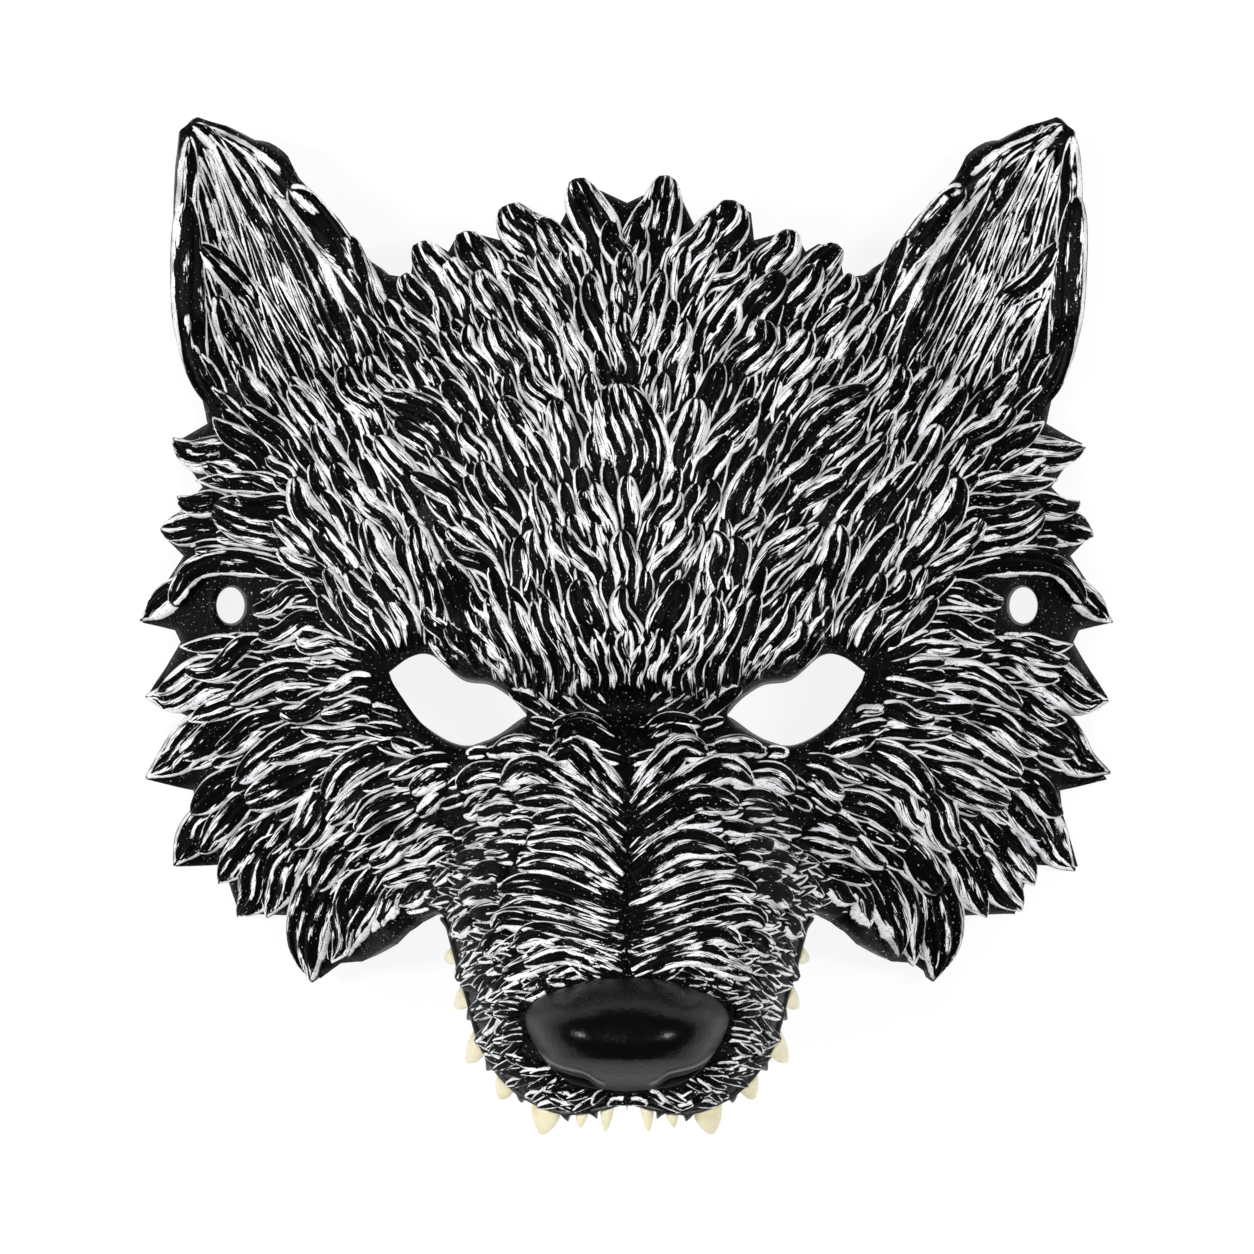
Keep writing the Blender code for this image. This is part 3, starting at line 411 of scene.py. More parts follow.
def half_loops(strap_diameter, depth=0):
    """The left half's outline with the middle line last, its eye opening and its strap hole.

    At a depth under the surface, both openings are straight under their front edges."""
    edge = divided(plan(CROWN_EDGE + EAR_EDGE + SIDE_EDGE), EDGE_STEP)
    lip = rounded(plan(LIP_EDGE), LIP_STATIONS)
    middle = divided(np.array([lip[-1], edge[0]]), EDGE_STEP)[1:-1]
    eye = rounded(plan(EYE_EDGE + EYE_EDGE[:1]), 80)[:-1]
    eye = eye + surface(eye)[1][:, :2] * depth
    centre = plan([STRAP_HOLE])
    normal = surface(centre)[1][0]
    turn = np.linspace(0, 2 * math.pi, 40, endpoint=False)
    hole = centre[0] + normal[:2] * depth
    hole = hole + np.column_stack([np.cos(turn) * normal[2], -np.sin(turn)]) * strap_diameter / 2
    return [np.vstack([edge, lip, middle]), eye, hole]


def fill_places(spacing):
    """A regular field of places over the left half."""
    x = np.arange(-HALF_WIDTH, 0, spacing)
    y = np.arange(-HALF_HEIGHT, HALF_HEIGHT, spacing)
    grid = np.stack(np.meshgrid(x, y), axis=-1)
    grid[1::2, :, 0] += spacing / 2
    return grid.reshape(-1, 2)


def within(places, loops):
    """Which places lie on the moulding, clear of its openings."""
    return inside(places, loops[0]) & ~inside(places, loops[1]) & ~inside(places, loops[2])


def triangulate(loops, spacing):
    """Places and triangles over the left half between its loops; the loops' places come first."""
    fill = fill_places(spacing)
    fill = fill[within(fill, loops)]
    fill = fill[edge_distance(fill, loops) > spacing * .45]
    edges = []
    start = 0
    for loop in loops:
        edges += [(start + k, start + (k + 1) % len(loop)) for k in range(len(loop))]
        start += len(loop)
    flat = [Vector(point) for point in np.vstack([*loops, fill]).tolist()]
    verts, _, faces, origins, _, _ = geometry.delaunay_2d_cdt(flat, edges, [], 0, 1e-7)
    verts = np.array([tuple(vert) for vert in verts])
    faces = np.array(faces)
    first, second = verts[faces[:, 1]] - verts[faces[:, 0]], verts[faces[:, 2]] - verts[faces[:, 0]]
    is_sliver = first[:, 0] * second[:, 1] - first[:, 1] * second[:, 0] < 1e-10
    keep = within(verts[faces].mean(axis=1), loops) & ~is_sliver
    place_of = np.zeros(len(flat), int)
    for index, inputs in enumerate(origins):
        for original in inputs:
            place_of[original] = index
    return verts, faces[keep], place_of


def join_halves(points, faces):
    """Mirror the left half and join it along the middle line."""
    points = points.copy()
    shared = on_middle(points)
    points[shared, 0] = 0
    other = np.where(shared, np.arange(len(points)), len(points) + np.cumsum(~shared) - 1)
    mirrored = points[~shared] * (-1, 1, 1)
    return np.vstack([points, mirrored]), np.vstack([faces, other[faces][:, ::-1]])


def build_skin(material):
    """The bare wall under the fur, with its rim rounded, its eye openings and its strap holes."""
    loops = half_loops(STRAP_HOLE_FRONT)
    verts, faces, front_index = triangulate(loops, SKIN_STEP)
    points, normals = surface(verts)
    near = np.clip(edge_distance(verts, loops) / ROUND_EDGE, 0, 1)
    sunk = ROUND_EDGE * .6 * (1 - np.sqrt(1 - (1 - near) ** 2))
    front = points - normals * sunk[:, None]
    back_loops = half_loops(STRAP_HOLE_BACK, WALL)
    back_verts, back_faces, back_index = triangulate(back_loops, BACK_STEP)
    points, normals = surface(back_verts)
    back = points - normals * WALL
    back[:, 2] = np.maximum(back[:, 2], 0)
    back[on_middle(back_verts), 0] = 0
    walls = []
    start = 0
    for loop in loops:
        middle = on_middle(loop)
        for k in range(len(loop)):
            after = (k + 1) % len(loop)
            if not (middle[k] and middle[after]):
                a, b = front_index[start + k], front_index[start + after]
                c, d = back_index[start + k] + len(front), back_index[start + after] + len(front)
                walls += [(a, c, b), (b, c, d)]
        start += len(loop)
    every_face = np.vstack([faces, back_faces[:, ::-1] + len(front), np.array(walls)])
    return add_piece("skin", *join_halves(np.vstack([front, back]), every_face), material, "fur_paint", "mask_shell")


def brushing(place):
    """How much more or less silver than elsewhere lies at a place in the plan."""
    u, v = abs(place[0]) / HALF_WIDTH * -100, place[1] / HALF_HEIGHT * 100
    return sum(gain * math.exp(-((u - at_u) / half_u) ** 2 - ((v - at_v) / half_v) ** 2)
               for at_u, at_v, half_u, half_v, gain in BRUSHING)


class Tuft:
    """One lock of fur as a closed leaf of strands on the moulding."""

    def __init__(self, line, width, height, rng, pitch=STRAND_PITCH, level=1.0, form=LOCK_FORM):
        """line runs from the root to the tip in the plan, in metres; level is how much silver it takes."""
        self.level = level + brushing(line.mean(axis=0)) + rng.uniform(-.12, .12)
        self.length = np.linalg.norm(np.diff(line, axis=0), axis=1).sum()
        self.rows = max(8, round(self.length / LOCK_STEP))
        self.line = rounded(line, self.rows)
        self.width = width
        self.height = height
        self.form = form
        self.strands = int(np.clip(round(width / pitch), 1, 6))
        self.rng = rng

    def shape(self):
        """Points, faces, place on the fur for the paint and its tone."""
        rng, rows, strands = self.rng, self.rows, self.strands
        t = np.linspace(0, 1, rows)[:, None]
        run = np.gradient(self.line, axis=0)
        run /= np.linalg.norm(run, axis=1)[:, None]
        side = np.column_stack([-run[:, 1], run[:, 0]])
        half = self.width / 2 * curve(self.form, 1, t)
        columns = 6 * strands + 1
        s = np.linspace(-1, 1, columns)[None, :]
        swing = math.sin(rng.uniform(0, 6)) * t ** 2 * self.width * .15
        wave = rng.uniform(.08, .20) * np.sin(t * rng.uniform(4, 8) + rng.uniform(0, 6)) * (1 - s ** 2)
        cuts = np.concatenate([[0], np.cumsum(rng.uniform(.65, 1.35, strands))])
        at = np.interp((s + wave + 1) / 2, cuts / cuts[-1], np.arange(strands + 1))
        number = np.minimum(at.astype(int), strands - 1)
        across = 2 * (at - number) - 1
        lift = rng.uniform(-.12, .12, strands)[number]
        tone = rng.uniform(0, 1, strands)[number]
        border = np.minimum(half * (1 - np.abs(s)), (1 - t) * self.length)
        rim = np.exp(-((border - RIM_PLACE) / RIM_REACH) ** 2) * smooth(.05, .3, t)
        dome = .18 + .82 * (1 - np.abs(s) ** 3.5)
        depth = np.minimum(STRAND_DEPTH, .7 * half / strands)
        rise = curve(self.form, 2, t)
        top = self.height * rise * (dome + lift * np.sin(np.pi * t))
        top = top - depth * np.abs(across) ** 2.2 + rim * depth * .5
        offset = s * half + swing
        places = self.line[:, None, :] + side[:, None, :] * offset[..., None]
        borders = np.concatenate([places[:, :1], places, places[:, -1:]], axis=1)
        heights = np.concatenate([np.full((rows, 1), -SKIRT), top, np.full((rows, 1), -SKIRT)], axis=1)
        points, normals = surface(borders.reshape(-1, 2))
        points = points + normals * heights.reshape(-1, 1)
        # Painted shade: the silver on the rims and crests fades out towards the root, where the lock lies low under
        # the one above
        root_shade_fade = smooth(-.05, .30, rise)
        crest = (1 - np.abs(across) ** 1.6) * smooth(-.25, .75, rise) * smooth(RIM_PLACE, 2 * RIM_PLACE, border)

        def widened(field):
            """A field over the top, repeated at the skirts."""
            field = np.broadcast_to(field, (rows, columns))
            return np.pad(field, ((0, 0), (1, 1)), mode="edge").reshape(-1)

        on_top = heights.reshape(-1) > -SKIRT
        level = np.full(on_top.shape, np.clip(self.level, 0, 2) / 2)
        colour = np.column_stack([widened(crest) * on_top, widened(tone), widened(rim * root_shade_fade) * on_top, level])
        shift = rng.uniform(0, 5, 2)
        strip = np.column_stack([widened(s * half) + shift[0], widened(t * self.length) + shift[1]])
        return points, self.faces(columns + 2), colour, strip

    def faces(self, columns):
        """Quads over the top, a strip underneath and a face at each end."""
        i, j = np.meshgrid(np.arange(self.rows - 1), np.arange(columns - 1), indexing="ij")
        a = (i * columns + j).reshape(-1)
        quads = np.column_stack([a, a + columns, a + columns + 1, a + 1]).tolist()
        for k in range(self.rows - 1):
            left, right = k * columns, k * columns + columns - 1
            quads.append([left, right, right + columns, left + columns])
        quads.append(list(range(columns)))
        quads.append(list(range(self.rows * columns - 1, (self.rows - 1) * columns - 1, -1)))
        return quads


def add_fur(name, tufts, material):
    """Join tufts into one piece that carries its paint's tone and its place along each strand."""
    points, faces, colours, strips = [], [], [], []
    start = 0
    for tuft in tufts:
        verts, quads, colour, strip = tuft.shape()
        points.append(verts)
        faces += [[index + start for index in quad] for quad in quads]
        colours.append(colour)
        strips.append(strip)
        start += len(verts)
    item = add_piece(name, np.vstack(points), faces, material, "fur_paint")
    mesh = item.data
    tone = mesh.attributes.new("tone", "FLOAT_COLOR", "POINT")
    tone.data.foreach_set("color", np.vstack(colours).astype(np.float32).reshape(-1))
    strip = mesh.uv_layers.new(name="strand")
    corner = np.zeros(len(mesh.loops), np.int32)
    mesh.loops.foreach_get("vertex_index", corner)
    strip.data.foreach_set("uv", np.vstack(strips)[corner].astype(np.float32).reshape(-1))
    return item


def lock_line(row, flip, rng):
    """A table row's line from root to tip in metres, bent a little if the row gives no bend."""
    places = plan(np.array(row[1:]).reshape(-1, 2))[::-1] * (flip, 1)
    if len(places) == 2:
        run = places[1] - places[0]
        bend = np.array([-run[1], run[0]]) * rng.uniform(.04, .13) * -flip
        back = bend * rng.uniform(-.8, .7)
        places = np.array([places[0], places[0] + run * .35 + bend, places[0] + run * .7 + back, places[1]])
    return places


def table_tufts(rows, rng, height, sides=(1, -1), form=LOCK_FORM, edge=None):
    """Tufts for the rows of a table on each side of the mask, sharp where they end near the edge."""
    tufts = []
    for flip in sides:
        for row in rows:
            if edge is not None:
                is_outer = edge_distance(plan([row[1:3]]), [edge])[0] < .0045
                form = SHARP_FORM if is_outer else LOCK_FORM
            width = row[0] / 100 * HALF_WIDTH
            rise = height * min(1.1, .55 + row[0] / 16) * rng.uniform(.9, 1.1)
            tufts.append(Tuft(lock_line(row, flip, rng), width * 1.04, rise, rng, form=form))
    return tufts


def fan_tufts(rng):
    """Slim strands from the base of each ear to its tip."""
    tufts = []
    for flip in (1, -1):
        for first_root, last_root, first_tip, last_tip in EAR_FANS:
            for share in np.linspace(0, 1, 11):
                root = plan(np.array(first_root) * (1 - share) + np.array(last_root) * share)
                tip = plan(np.array(first_tip) * (1 - share) + np.array(last_tip) * share)
                root, tip = root + rng.normal(0, .002, 2), tip + rng.normal(0, .0007, 2)
                run = tip - root
                middle = (root + tip) / 2 + np.array([-run[1], run[0]]) * rng.uniform(-.05, .05)
                line = np.array([root, middle, tip]) * (flip, 1)
                tufts.append(Tuft(line, rng.uniform(.0026, .0042), .0013, rng, .0018, .34))
    return tufts


def under_tufts(guides, loops, rng):
    """Small locks that follow their neighbours wherever the tables leave the moulding bare."""
    starts = np.array([guide.line[len(guide.line) // 2] for guide in guides])
    ways = np.array([guide.line[-1] - guide.line[0] for guide in guides])
    ways /= np.linalg.norm(ways, axis=1)[:, None]
    nose = plan(NOSE_OUTLINE)
    hole = plan([STRAP_HOLE])[0]
    groups = {"face": [], "muzzle": [], "ear": [], "lip": []}
    plans = []
    for spacing, is_lip in ((UNDER_SPACING, False), (LIP_SPACING, True)):
        field = fill_places(spacing)
        for place in field + rng.uniform(-.22, .22, field.shape) * spacing:
            u, v = 100 * place[0] / HALF_WIDTH, 100 * place[1] / HALF_HEIGHT
            away = ((starts - place) ** 2).sum(1)
            way = (ways / (away[:, None] + .006 ** 2) ** 2).sum(0)
            way /= np.linalg.norm(way)
            if is_lip != (u > -42 and (v < -62 or (v < -44 and u < -27))):
                continue
            if is_lip:
                group, length, width, height = "lip", .0076, .0031, .0010
            elif v < -20 and u > -42:
                group, length, width, height = "muzzle", .0085, .0042, .0012
            elif v > 38 and u < -52:
                group, length, width, height = "ear", .018, .0034, .0011
            else:
                group, length, width, height = "face", .015, .0058, .0013
            if is_lip:
                turn = rng.uniform(-.7, .7)
                way = np.array([way[0] * math.cos(turn) - way[1] * math.sin(turn),
                                way[0] * math.sin(turn) + way[1] * math.cos(turn)])
            half = way * length * rng.uniform(.8, 1.2) / 2
            bend = np.array([-way[1], way[0]]) * rng.uniform(-.08, .08) * length
            line = np.array([place - half, place + bend, place + half])
            tested = place + (line - place) * (.66 if is_lip else 1)
            plans.append((group, width, height, place, line, tested))
    lines = np.vstack([tested for *_, tested in plans])
    on_nose = inside(lines, np.vstack([nose, nose[::-1] * (-1, 1)]))
    usable = (within(lines, loops) & ~on_nose).reshape(-1, 3).all(axis=1)
    room = edge_distance(lines, loops).reshape(-1, 3).min(axis=1)
    for (group, width, height, place, line, _), is_usable, clear in zip(plans, usable, room):
        is_clear = group == "lip" or (clear > width * .3 and np.linalg.norm(place - hole) > .0095)
        if is_usable and is_clear:
            for flip in (1, -1):
                form = FULL_FORM if group in ("muzzle", "lip") else LOCK_FORM
                tuft = Tuft(line * (flip, 1), width, height, rng, .0028, UNDER_LEVELS[group], form)
                groups[group].append(tuft)
    return groups


def nose_reach(places):
    """How far places lie from the middle of the nose, as a share of the way to its edge."""
    edge = rounded(plan(NOSE_OUTLINE), 90)
    centre = np.array([0, (edge[0][1] + edge[-1][1]) / 2])
    angle = np.arctan2(np.abs(edge[:, 0]), edge[:, 1] - centre[1])
    radius = np.linalg.norm(edge - centre, axis=1)
    turn = np.arctan2(np.abs(places[:, 0]), places[:, 1] - centre[1])
    return np.linalg.norm(places - centre, axis=1) / np.interp(turn, angle, radius)


def nostril_shares(places):
    """How far places lie below the nostril's rim, and how much they belong to the rim and to the nostril."""
    u = np.abs(places[:, 0]) / HALF_WIDTH
    below = (curve(NOSTRIL_RIM, 1, u) - places[:, 1] / HALF_HEIGHT) * HALF_HEIGHT
    nostril = np.exp(-((below - .0019) / .0013) ** 2) * smooth(.045, .075, u) * smooth(.165, .13, u)
    rim = np.exp(-(below / .0005) ** 2) * smooth(.04, .055, u) * smooth(.19, .15, u)
    return below, rim, nostril


def nose_height(places):
    """Height of the nose over its seat, with a nostril on each side."""
    u = np.abs(places[:, 0]) / HALF_WIDTH
    v = places[:, 1] / HALF_HEIGHT
    seat = surface(places)[0][:, 2]
    top = DEPTH * (curve(NOSE_PROFILE, 1, v) - .9 * u ** 2)
    body = np.maximum(top - seat, NOSE_EDGE)
    away = np.clip(nose_reach(places), 0, 1) ** 4
    lobe = NOSE_LOBE * np.exp(-((u - .09) / .055) ** 2 - ((v + .79) / .05) ** 2)
    height = body + (NOSE_EDGE - body) * away + lobe
    _, rim, nostril = nostril_shares(places)
    height = height - NOSTRIL_DEPTH * nostril + NOSE_RIM * rim
    return np.maximum(height, NOSE_EDGE * .8)


def build_nose(material):
    """The nose pad in fine rings over the place where the CAD's nose sits."""
    left = rounded(plan(NOSE_OUTLINE), 90)
    edge = np.vstack([left, left[-2:0:-1] * (-1, 1)])
    centre = np.array([0, (left[0][1] + left[-1][1]) / 2])
    shares = np.linspace(0, 1, 64)[1:]
    places = np.vstack([centre] + [centre + (edge - centre) * share for share in shares])
    seat = surface(places)[0]
    top = seat.copy()
    top[:, 2] += nose_height(places)
    around = len(edge)
    faces = []
    for k in range(around):
        after = (k + 1) % around
        faces.append((0, 1 + k, 1 + after))
        for ring in range(len(shares) - 1):
            a, b = 1 + ring * around + k, 1 + ring * around + after
            faces.append((a, a + around, b + around, b))
    count = len(places)
    outer = 1 + (len(shares) - 1) * around
    bottom = [tuple(index + count for index in face[::-1]) for face in faces]
    walls = [(outer + k, outer + k + count, outer + (k + 1) % around + count, outer + (k + 1) % around)
             for k in range(around)]
    points = np.vstack([top, seat + (0, 0, GAP)])
    item = add_piece("nose_pad", points, faces + bottom + walls, material, "nose_black", "nose")
    # The rim share becomes a painted highlight, a pale grey line along the nostril's rim
    below, rim, nostril = nostril_shares(places)
    wing = smooth(.78, 1, nose_reach(places)) * smooth(.11, .17, np.abs(places[:, 0]) / HALF_WIDTH)
    matt = np.maximum(smooth(.0002, .0015, below), wing * .6)
    # The nostril channel is painted shade: it makes the nostril's hollow deeper black and keeps the matte grey out
    # of it
    paint = np.column_stack([rim, matt * (1 - nostril), nostril, np.ones(count)])
    tone = item.data.attributes.new("tone", "FLOAT_COLOR", "POINT")
    tone.data.foreach_set("color", np.vstack([paint, paint]).astype(np.float32).reshape(-1))
    return item


def lip_frames(places, tangents):
    """Points of the lip with its run, its outward normal and the way out of its edge."""
    points, normals = surface(places)
    runs = np.column_stack([tangents, np.zeros(len(places))])
    runs[:, 2] = -(normals[:, 0] * runs[:, 0] + normals[:, 1] * runs[:, 1]) / normals[:, 2]
    runs /= np.linalg.norm(runs, axis=1)[:, None]
    return points, runs, normals, np.cross(normals, runs) * -1


def lip_line():
    """The lip in the plan from the left corner round to the right one."""
    left = rounded(plan(LIP_EDGE), LIP_STATIONS)
    line = np.vstack([left, left[-2::-1] * (-1, 1)])
    tangents = np.gradient(line, axis=0)
    return line, tangents / np.linalg.norm(tangents, axis=1)[:, None]


def tooth_spans():
    """Where each tooth starts and ends along the whole lip, as shares of it, left to right."""
    line, _ = lip_line()
    length = np.linalg.norm(np.diff(surface(line)[0], axis=0), axis=1).sum()
    spans = []
    for place, width, *_ in TEETH:
        half = width * CANINE_WIDTH / 2 / length
        spans.append((place / 2 - half, place / 2 + half))
    return spans + [(1 - b, 1 - a) for a, b in spans[::-1]]


def web_height(shares):
    """How far the gum's webs reach out between the teeth."""
    spans = tooth_spans()
    height = np.zeros(len(shares))
    for (_, left_end), (right_start, _) in zip(spans, spans[1:]):
        middle = (left_end + right_start) / 2
        room = min((right_start - left_end) / 2 * .6, .007)
        height = np.maximum(height, np.clip(1 - np.abs(shares - middle) / room, 0, 1) ** 1.4)
    return height * GUM_WEB


def build_gum(material):
    """The dark strip along the edge of the lip, with a pointed web between each two teeth."""
    line, tangents = lip_line()
    points, _, normals, out = lip_frames(line, tangents)
    ends = LIP_STATIONS // 17
    stations = slice(ends, len(line) - ends)
    shares = np.linspace(0, 1, len(line))[stations]
    points, normals, out = points[stations], normals[stations], out[stations]
    crest = GAP + GUM_HEIGHT + web_height(shares)[:, None]
    inset, bevel = WALL / 16, WALL / 8
    section = [(inset, GAP), (inset, crest - bevel), (inset + bevel, crest), (WALL - inset - bevel, crest),
               (WALL - inset, crest - bevel), (WALL - inset, GAP)]
    rows = np.stack([points - normals * depth + out * reach for depth, reach in section], axis=1)
    corners = len(section)
    faces = []
    for k in range(len(points) - 1):
        for corner in range(corners):
            a, b = corners * k + corner, corners * k + (corner + 1) % corners
            faces.append((a, b, b + corners, a + corners))
    last = corners * (len(points) - 1)
    faces.append(tuple(range(corners))[::-1])
    faces.append(tuple(range(last, last + corners)))
    return add_piece("gum", rows.reshape(-1, 3), faces, material, "gum_black", "gum_strip")


def tooth_mesh(row, flip):
    """Rings from the gum to the tip, with the tip where the table says."""
    place, width, tip_u, tip_v, tip_w = row
    line, tangents = lip_line()
    at = place / 2 * (len(line) - 1)
    k = int(at)
    centre = line[k] + (line[k + 1] - line[k]) * (at - k)
    points, runs, normals, out = lip_frames(centre[None], tangents[k][None])
    root = points[0] - normals[0] * WALL / 2 + out[0] * (2 * GAP + GUM_HEIGHT)
    tip = np.array([tip_u / 100 * HALF_WIDTH, tip_v / 100 * HALF_HEIGHT, tip_w * DEPTH])
    wide = width * CANINE_WIDTH / 2
    thick = min(wide, WALL / 2) * .95
    rings = []
    for share in np.linspace(0, .95, TOOTH_RINGS):
        size = float(curve(TOOTH_FORM, 1, share))
        middle = root + (tip - root) * share + out[0] * math.sin(share * math.pi) * wide * .12
        for side in range(TOOTH_SIDES):
            turn = 2 * math.pi * side / TOOTH_SIDES
            around = runs[0] * wide * math.cos(turn) + normals[0] * thick * math.sin(turn)
            rings.append(middle + size * around)
    rings = np.array(rings + [tip, root]) * (flip, 1, 1)
    faces = []
    top = TOOTH_SIDES * (TOOTH_RINGS - 1)
    for side in range(TOOTH_SIDES):
        after = (side + 1) % TOOTH_SIDES
        for ring in range(TOOTH_RINGS - 1):
            a, b = ring * TOOTH_SIDES + side, ring * TOOTH_SIDES + after
            faces.append((a, b, b + TOOTH_SIDES, a + TOOTH_SIDES))
        faces.append((top + side, top + after, len(rings) - 2))
        faces.append((after, side, len(rings) - 1))
    return rings, faces if flip > 0 else [face[::-1] for face in faces]


def build_teeth(material):
    """Seven teeth on each side."""
    for number, row in enumerate(TEETH, start=1):
        for side_name, flip in (("left", 1), ("right", -1)):
            name = f"tooth_{side_name}_{number}"
            add_piece(name + "_enamel", *tooth_mesh(row, flip), material, "tooth_ivory", name)


class Shader:
    """A material's nodes, made and linked by short calls."""

    def __init__(self, name):
        self.material = bpy.data.materials.new(name)
        self.material.use_nodes = True
        self.nodes = self.material.node_tree.nodes
        self.links = self.material.node_tree.links
        self.principled = self.nodes["Principled BSDF"]

    def set(self, node, socket, value):
        """Link an output to a socket, or give it a constant."""
        target = node.inputs[socket]
        if isinstance(value, bpy.types.NodeSocket):
            self.links.new(value, target)
        else:
            target.default_value = value

    def math(self, operation, *values):
        """One arithmetic node."""
        node = self.nodes.new("ShaderNodeMath")
        node.operation = operation
        for index, value in enumerate(values):
            self.set(node, index, value)
        return node.outputs[0]

    def noise(self, vector, scale, detail=2.0, roughness=.5):
        """Noise over a vector."""
        node = self.nodes.new("ShaderNodeTexNoise")
        self.set(node, "Vector", vector)
        self.set(node, "Scale", scale)
        self.set(node, "Detail", detail)
        self.set(node, "Roughness", roughness)
        return node.outputs[0]

    def scaled(self, vector, scale):
        """A vector stretched along its axes."""
        node = self.nodes.new("ShaderNodeMapping")
        self.set(node, "Vector", vector)
        self.set(node, "Scale", scale)
        return node.outputs[0]

    def step(self, value, low, high, first=0.0, last=1.0):
        """A smooth step from first to last while the value goes from low to high."""
        node = self.nodes.new("ShaderNodeMapRange")
        node.interpolation_type = "SMOOTHSTEP"
        for socket, setting in zip(("Value", "From Min", "From Max", "To Min", "To Max"),
                                   (value, low, high, first, last)):
            self.set(node, socket, setting)
        return node.outputs[0]

    def mix(self, share, first, second):
        """A mix of two colours."""
        node = self.nodes.new("ShaderNodeMix")
        node.data_type = "RGBA"
        for index, value in ((0, share), (6, first), (7, second)):
            self.set(node, index, value)
        return node.outputs[2]

    def bump(self, height, distance, normal=None):
        """A normal tilted by a height field in metres."""
        node = self.nodes.new("ShaderNodeBump")
        self.set(node, "Height", height)
        self.set(node, "Distance", distance)
        if normal is not None:
            self.set(node, "Normal", normal)
        return node.outputs[0]

    def finish(self, **sockets):
        """Set the Principled shader's sockets by name."""
        for name, value in sockets.items():
            socket = name.replace("_", " ").title().replace("Ior", "IOR")
            self.set(self.principled, socket, value)
        return self.material


BLACK = (.0015, .0015, .0017, 1)
SILVER = (.90, .90, .92, 1)


def fur_material():
    """Black fur with silver brushed over the crests of its strands, worn to streaks and specks."""
    shader = Shader("brushed_fur")
    tone = shader.nodes.new("ShaderNodeAttribute")
    tone.attribute_name = "tone"
    split = shader.nodes.new("ShaderNodeSeparateColor")
    shader.set(split, 0, tone.outputs["Color"])
    # The crest and rim channels carry painted shade: their silver fades out towards the roots of the locks
    crest, strand, rim = split.outputs
    level = tone.outputs["Alpha"]
    strip = shader.nodes.new("ShaderNodeUVMap")
    strip.uv_map = "strand"
    streaks = shader.noise(shader.scaled(strip.outputs[0], (2100, 260, 1)), 1.0, 3.0, .6)
    patches = shader.noise(shader.scaled(strip.outputs[0], (420, 110, 1)), 1.0, 2.0)
    dots = shader.noise(shader.scaled(strip.outputs[0], (2400, 1300, 1)), 1.0, 1.0)
    specks = shader.noise(shader.nodes.new("ShaderNodeTexCoord").outputs["Object"], 2600.0, 1.0)
    wear = shader.math("MULTIPLY_ADD", patches, 2.0, -1.0)
    wear = shader.math("MULTIPLY_ADD", strand, .40, shader.math("ADD", wear, -.20))
    wear = shader.math("MULTIPLY_ADD", level, 1.6, shader.math("ADD", wear, -.80))
    edge = shader.math("MULTIPLY_ADD", wear, .5, rim)
    line = shader.step(shader.math("MULTIPLY_ADD", streaks, .8, shader.math("ADD", edge, -.4)), .30, .44)
    wear = shader.math("MULTIPLY_ADD", streaks, 1.0, shader.math("ADD", wear, -.50))
    stroke = shader.step(shader.math("ADD", crest, wear), .80, .90)
    cracks = shader.noise(shader.scaled(strip.outputs[0], (3000, 190, 1)), 1.0, 1.0)
    stroke = shader.math("MULTIPLY", stroke, shader.step(cracks, .40, .47))
    paint = shader.math("MAXIMUM", line, stroke)
    paint = shader.math("MAXIMUM", paint, shader.step(dots, .70, .74, 0, .7))
    chip = shader.step(specks, .30, .36)
    paint = shader.math("MULTIPLY", paint, chip)
    height = shader.math("MULTIPLY_ADD", streaks, .6, shader.math("MULTIPLY", paint, .25))
    return shader.finish(
        base_color=shader.mix(shader.math("MULTIPLY", paint, shader.step(patches, .3, .6, .5, 1.0)), BLACK, SILVER),
        metallic=shader.math("MULTIPLY", paint, .1),
        roughness=shader.step(paint, 0, 1, .36, .28),
        specular_ior_level=.05,
        normal=shader.bump(height, .00035),
    )


def skin_material():
    """Black satin foam with faint specks of silver."""
    shader = Shader("black_foam")
    place = shader.nodes.new("ShaderNodeTexCoord").outputs["Object"]
    fine = shader.noise(place, 900.0, 3.0)
    speck = shader.step(shader.noise(place, 1900.0, 1.0), .70, .75, 0, .6)
    return shader.finish(
        base_color=shader.mix(speck, BLACK, SILVER),
        metallic=shader.math("MULTIPLY", speck, .6),
        roughness=shader.step(fine, .3, .7, .34, .46),
        specular_ior_level=.1,
        normal=shader.bump(fine, .00025),
    )


def nose_material():
    """Glossy black with a fine grain."""
    shader = Shader("nose_gloss")
    place = shader.nodes.new("ShaderNodeTexCoord").outputs["Object"]
    grain = shader.noise(place, 700.0, 2.0)
    tone = shader.nodes.new("ShaderNodeAttribute")
    tone.attribute_name = "tone"
    split = shader.nodes.new("ShaderNodeSeparateColor")
    shader.set(split, 0, tone.outputs["Color"])
    rim, matt, nostril = split.outputs
    colour = shader.mix(shader.math("MULTIPLY", matt, .9), (.0015, .0015, .0018, 1), (.013, .013, .014, 1))
    # Painted highlight: a pale grey line along the nostril's rim
    colour = shader.mix(shader.math("MULTIPLY", rim, .8), colour, (.16, .16, .165, 1))
    # Painted shade: the nostril's hollow is turned a deeper black than the rest of the nose
    colour = shader.mix(shader.math("MULTIPLY", nostril, .9), colour, (.0005, .0005, .0005, 1))
    rough = shader.math("MULTIPLY_ADD", matt, .25, shader.step(grain, .3, .7, .23, .29))
    return shader.finish(
        base_color=colour,
        roughness=rough,
        specular_ior_level=.22,
        normal=shader.bump(grain, .0001),
    )


def gum_material():
    """Black satin."""
    shader = Shader("gum_satin")
    place = shader.nodes.new("ShaderNodeTexCoord").outputs["Object"]
    grain = shader.noise(place, 800.0, 2.0)
    return shader.finish(
        base_color=(.012, .012, .012, 1),
        roughness=.38,
        normal=shader.bump(grain, .0002),
    )


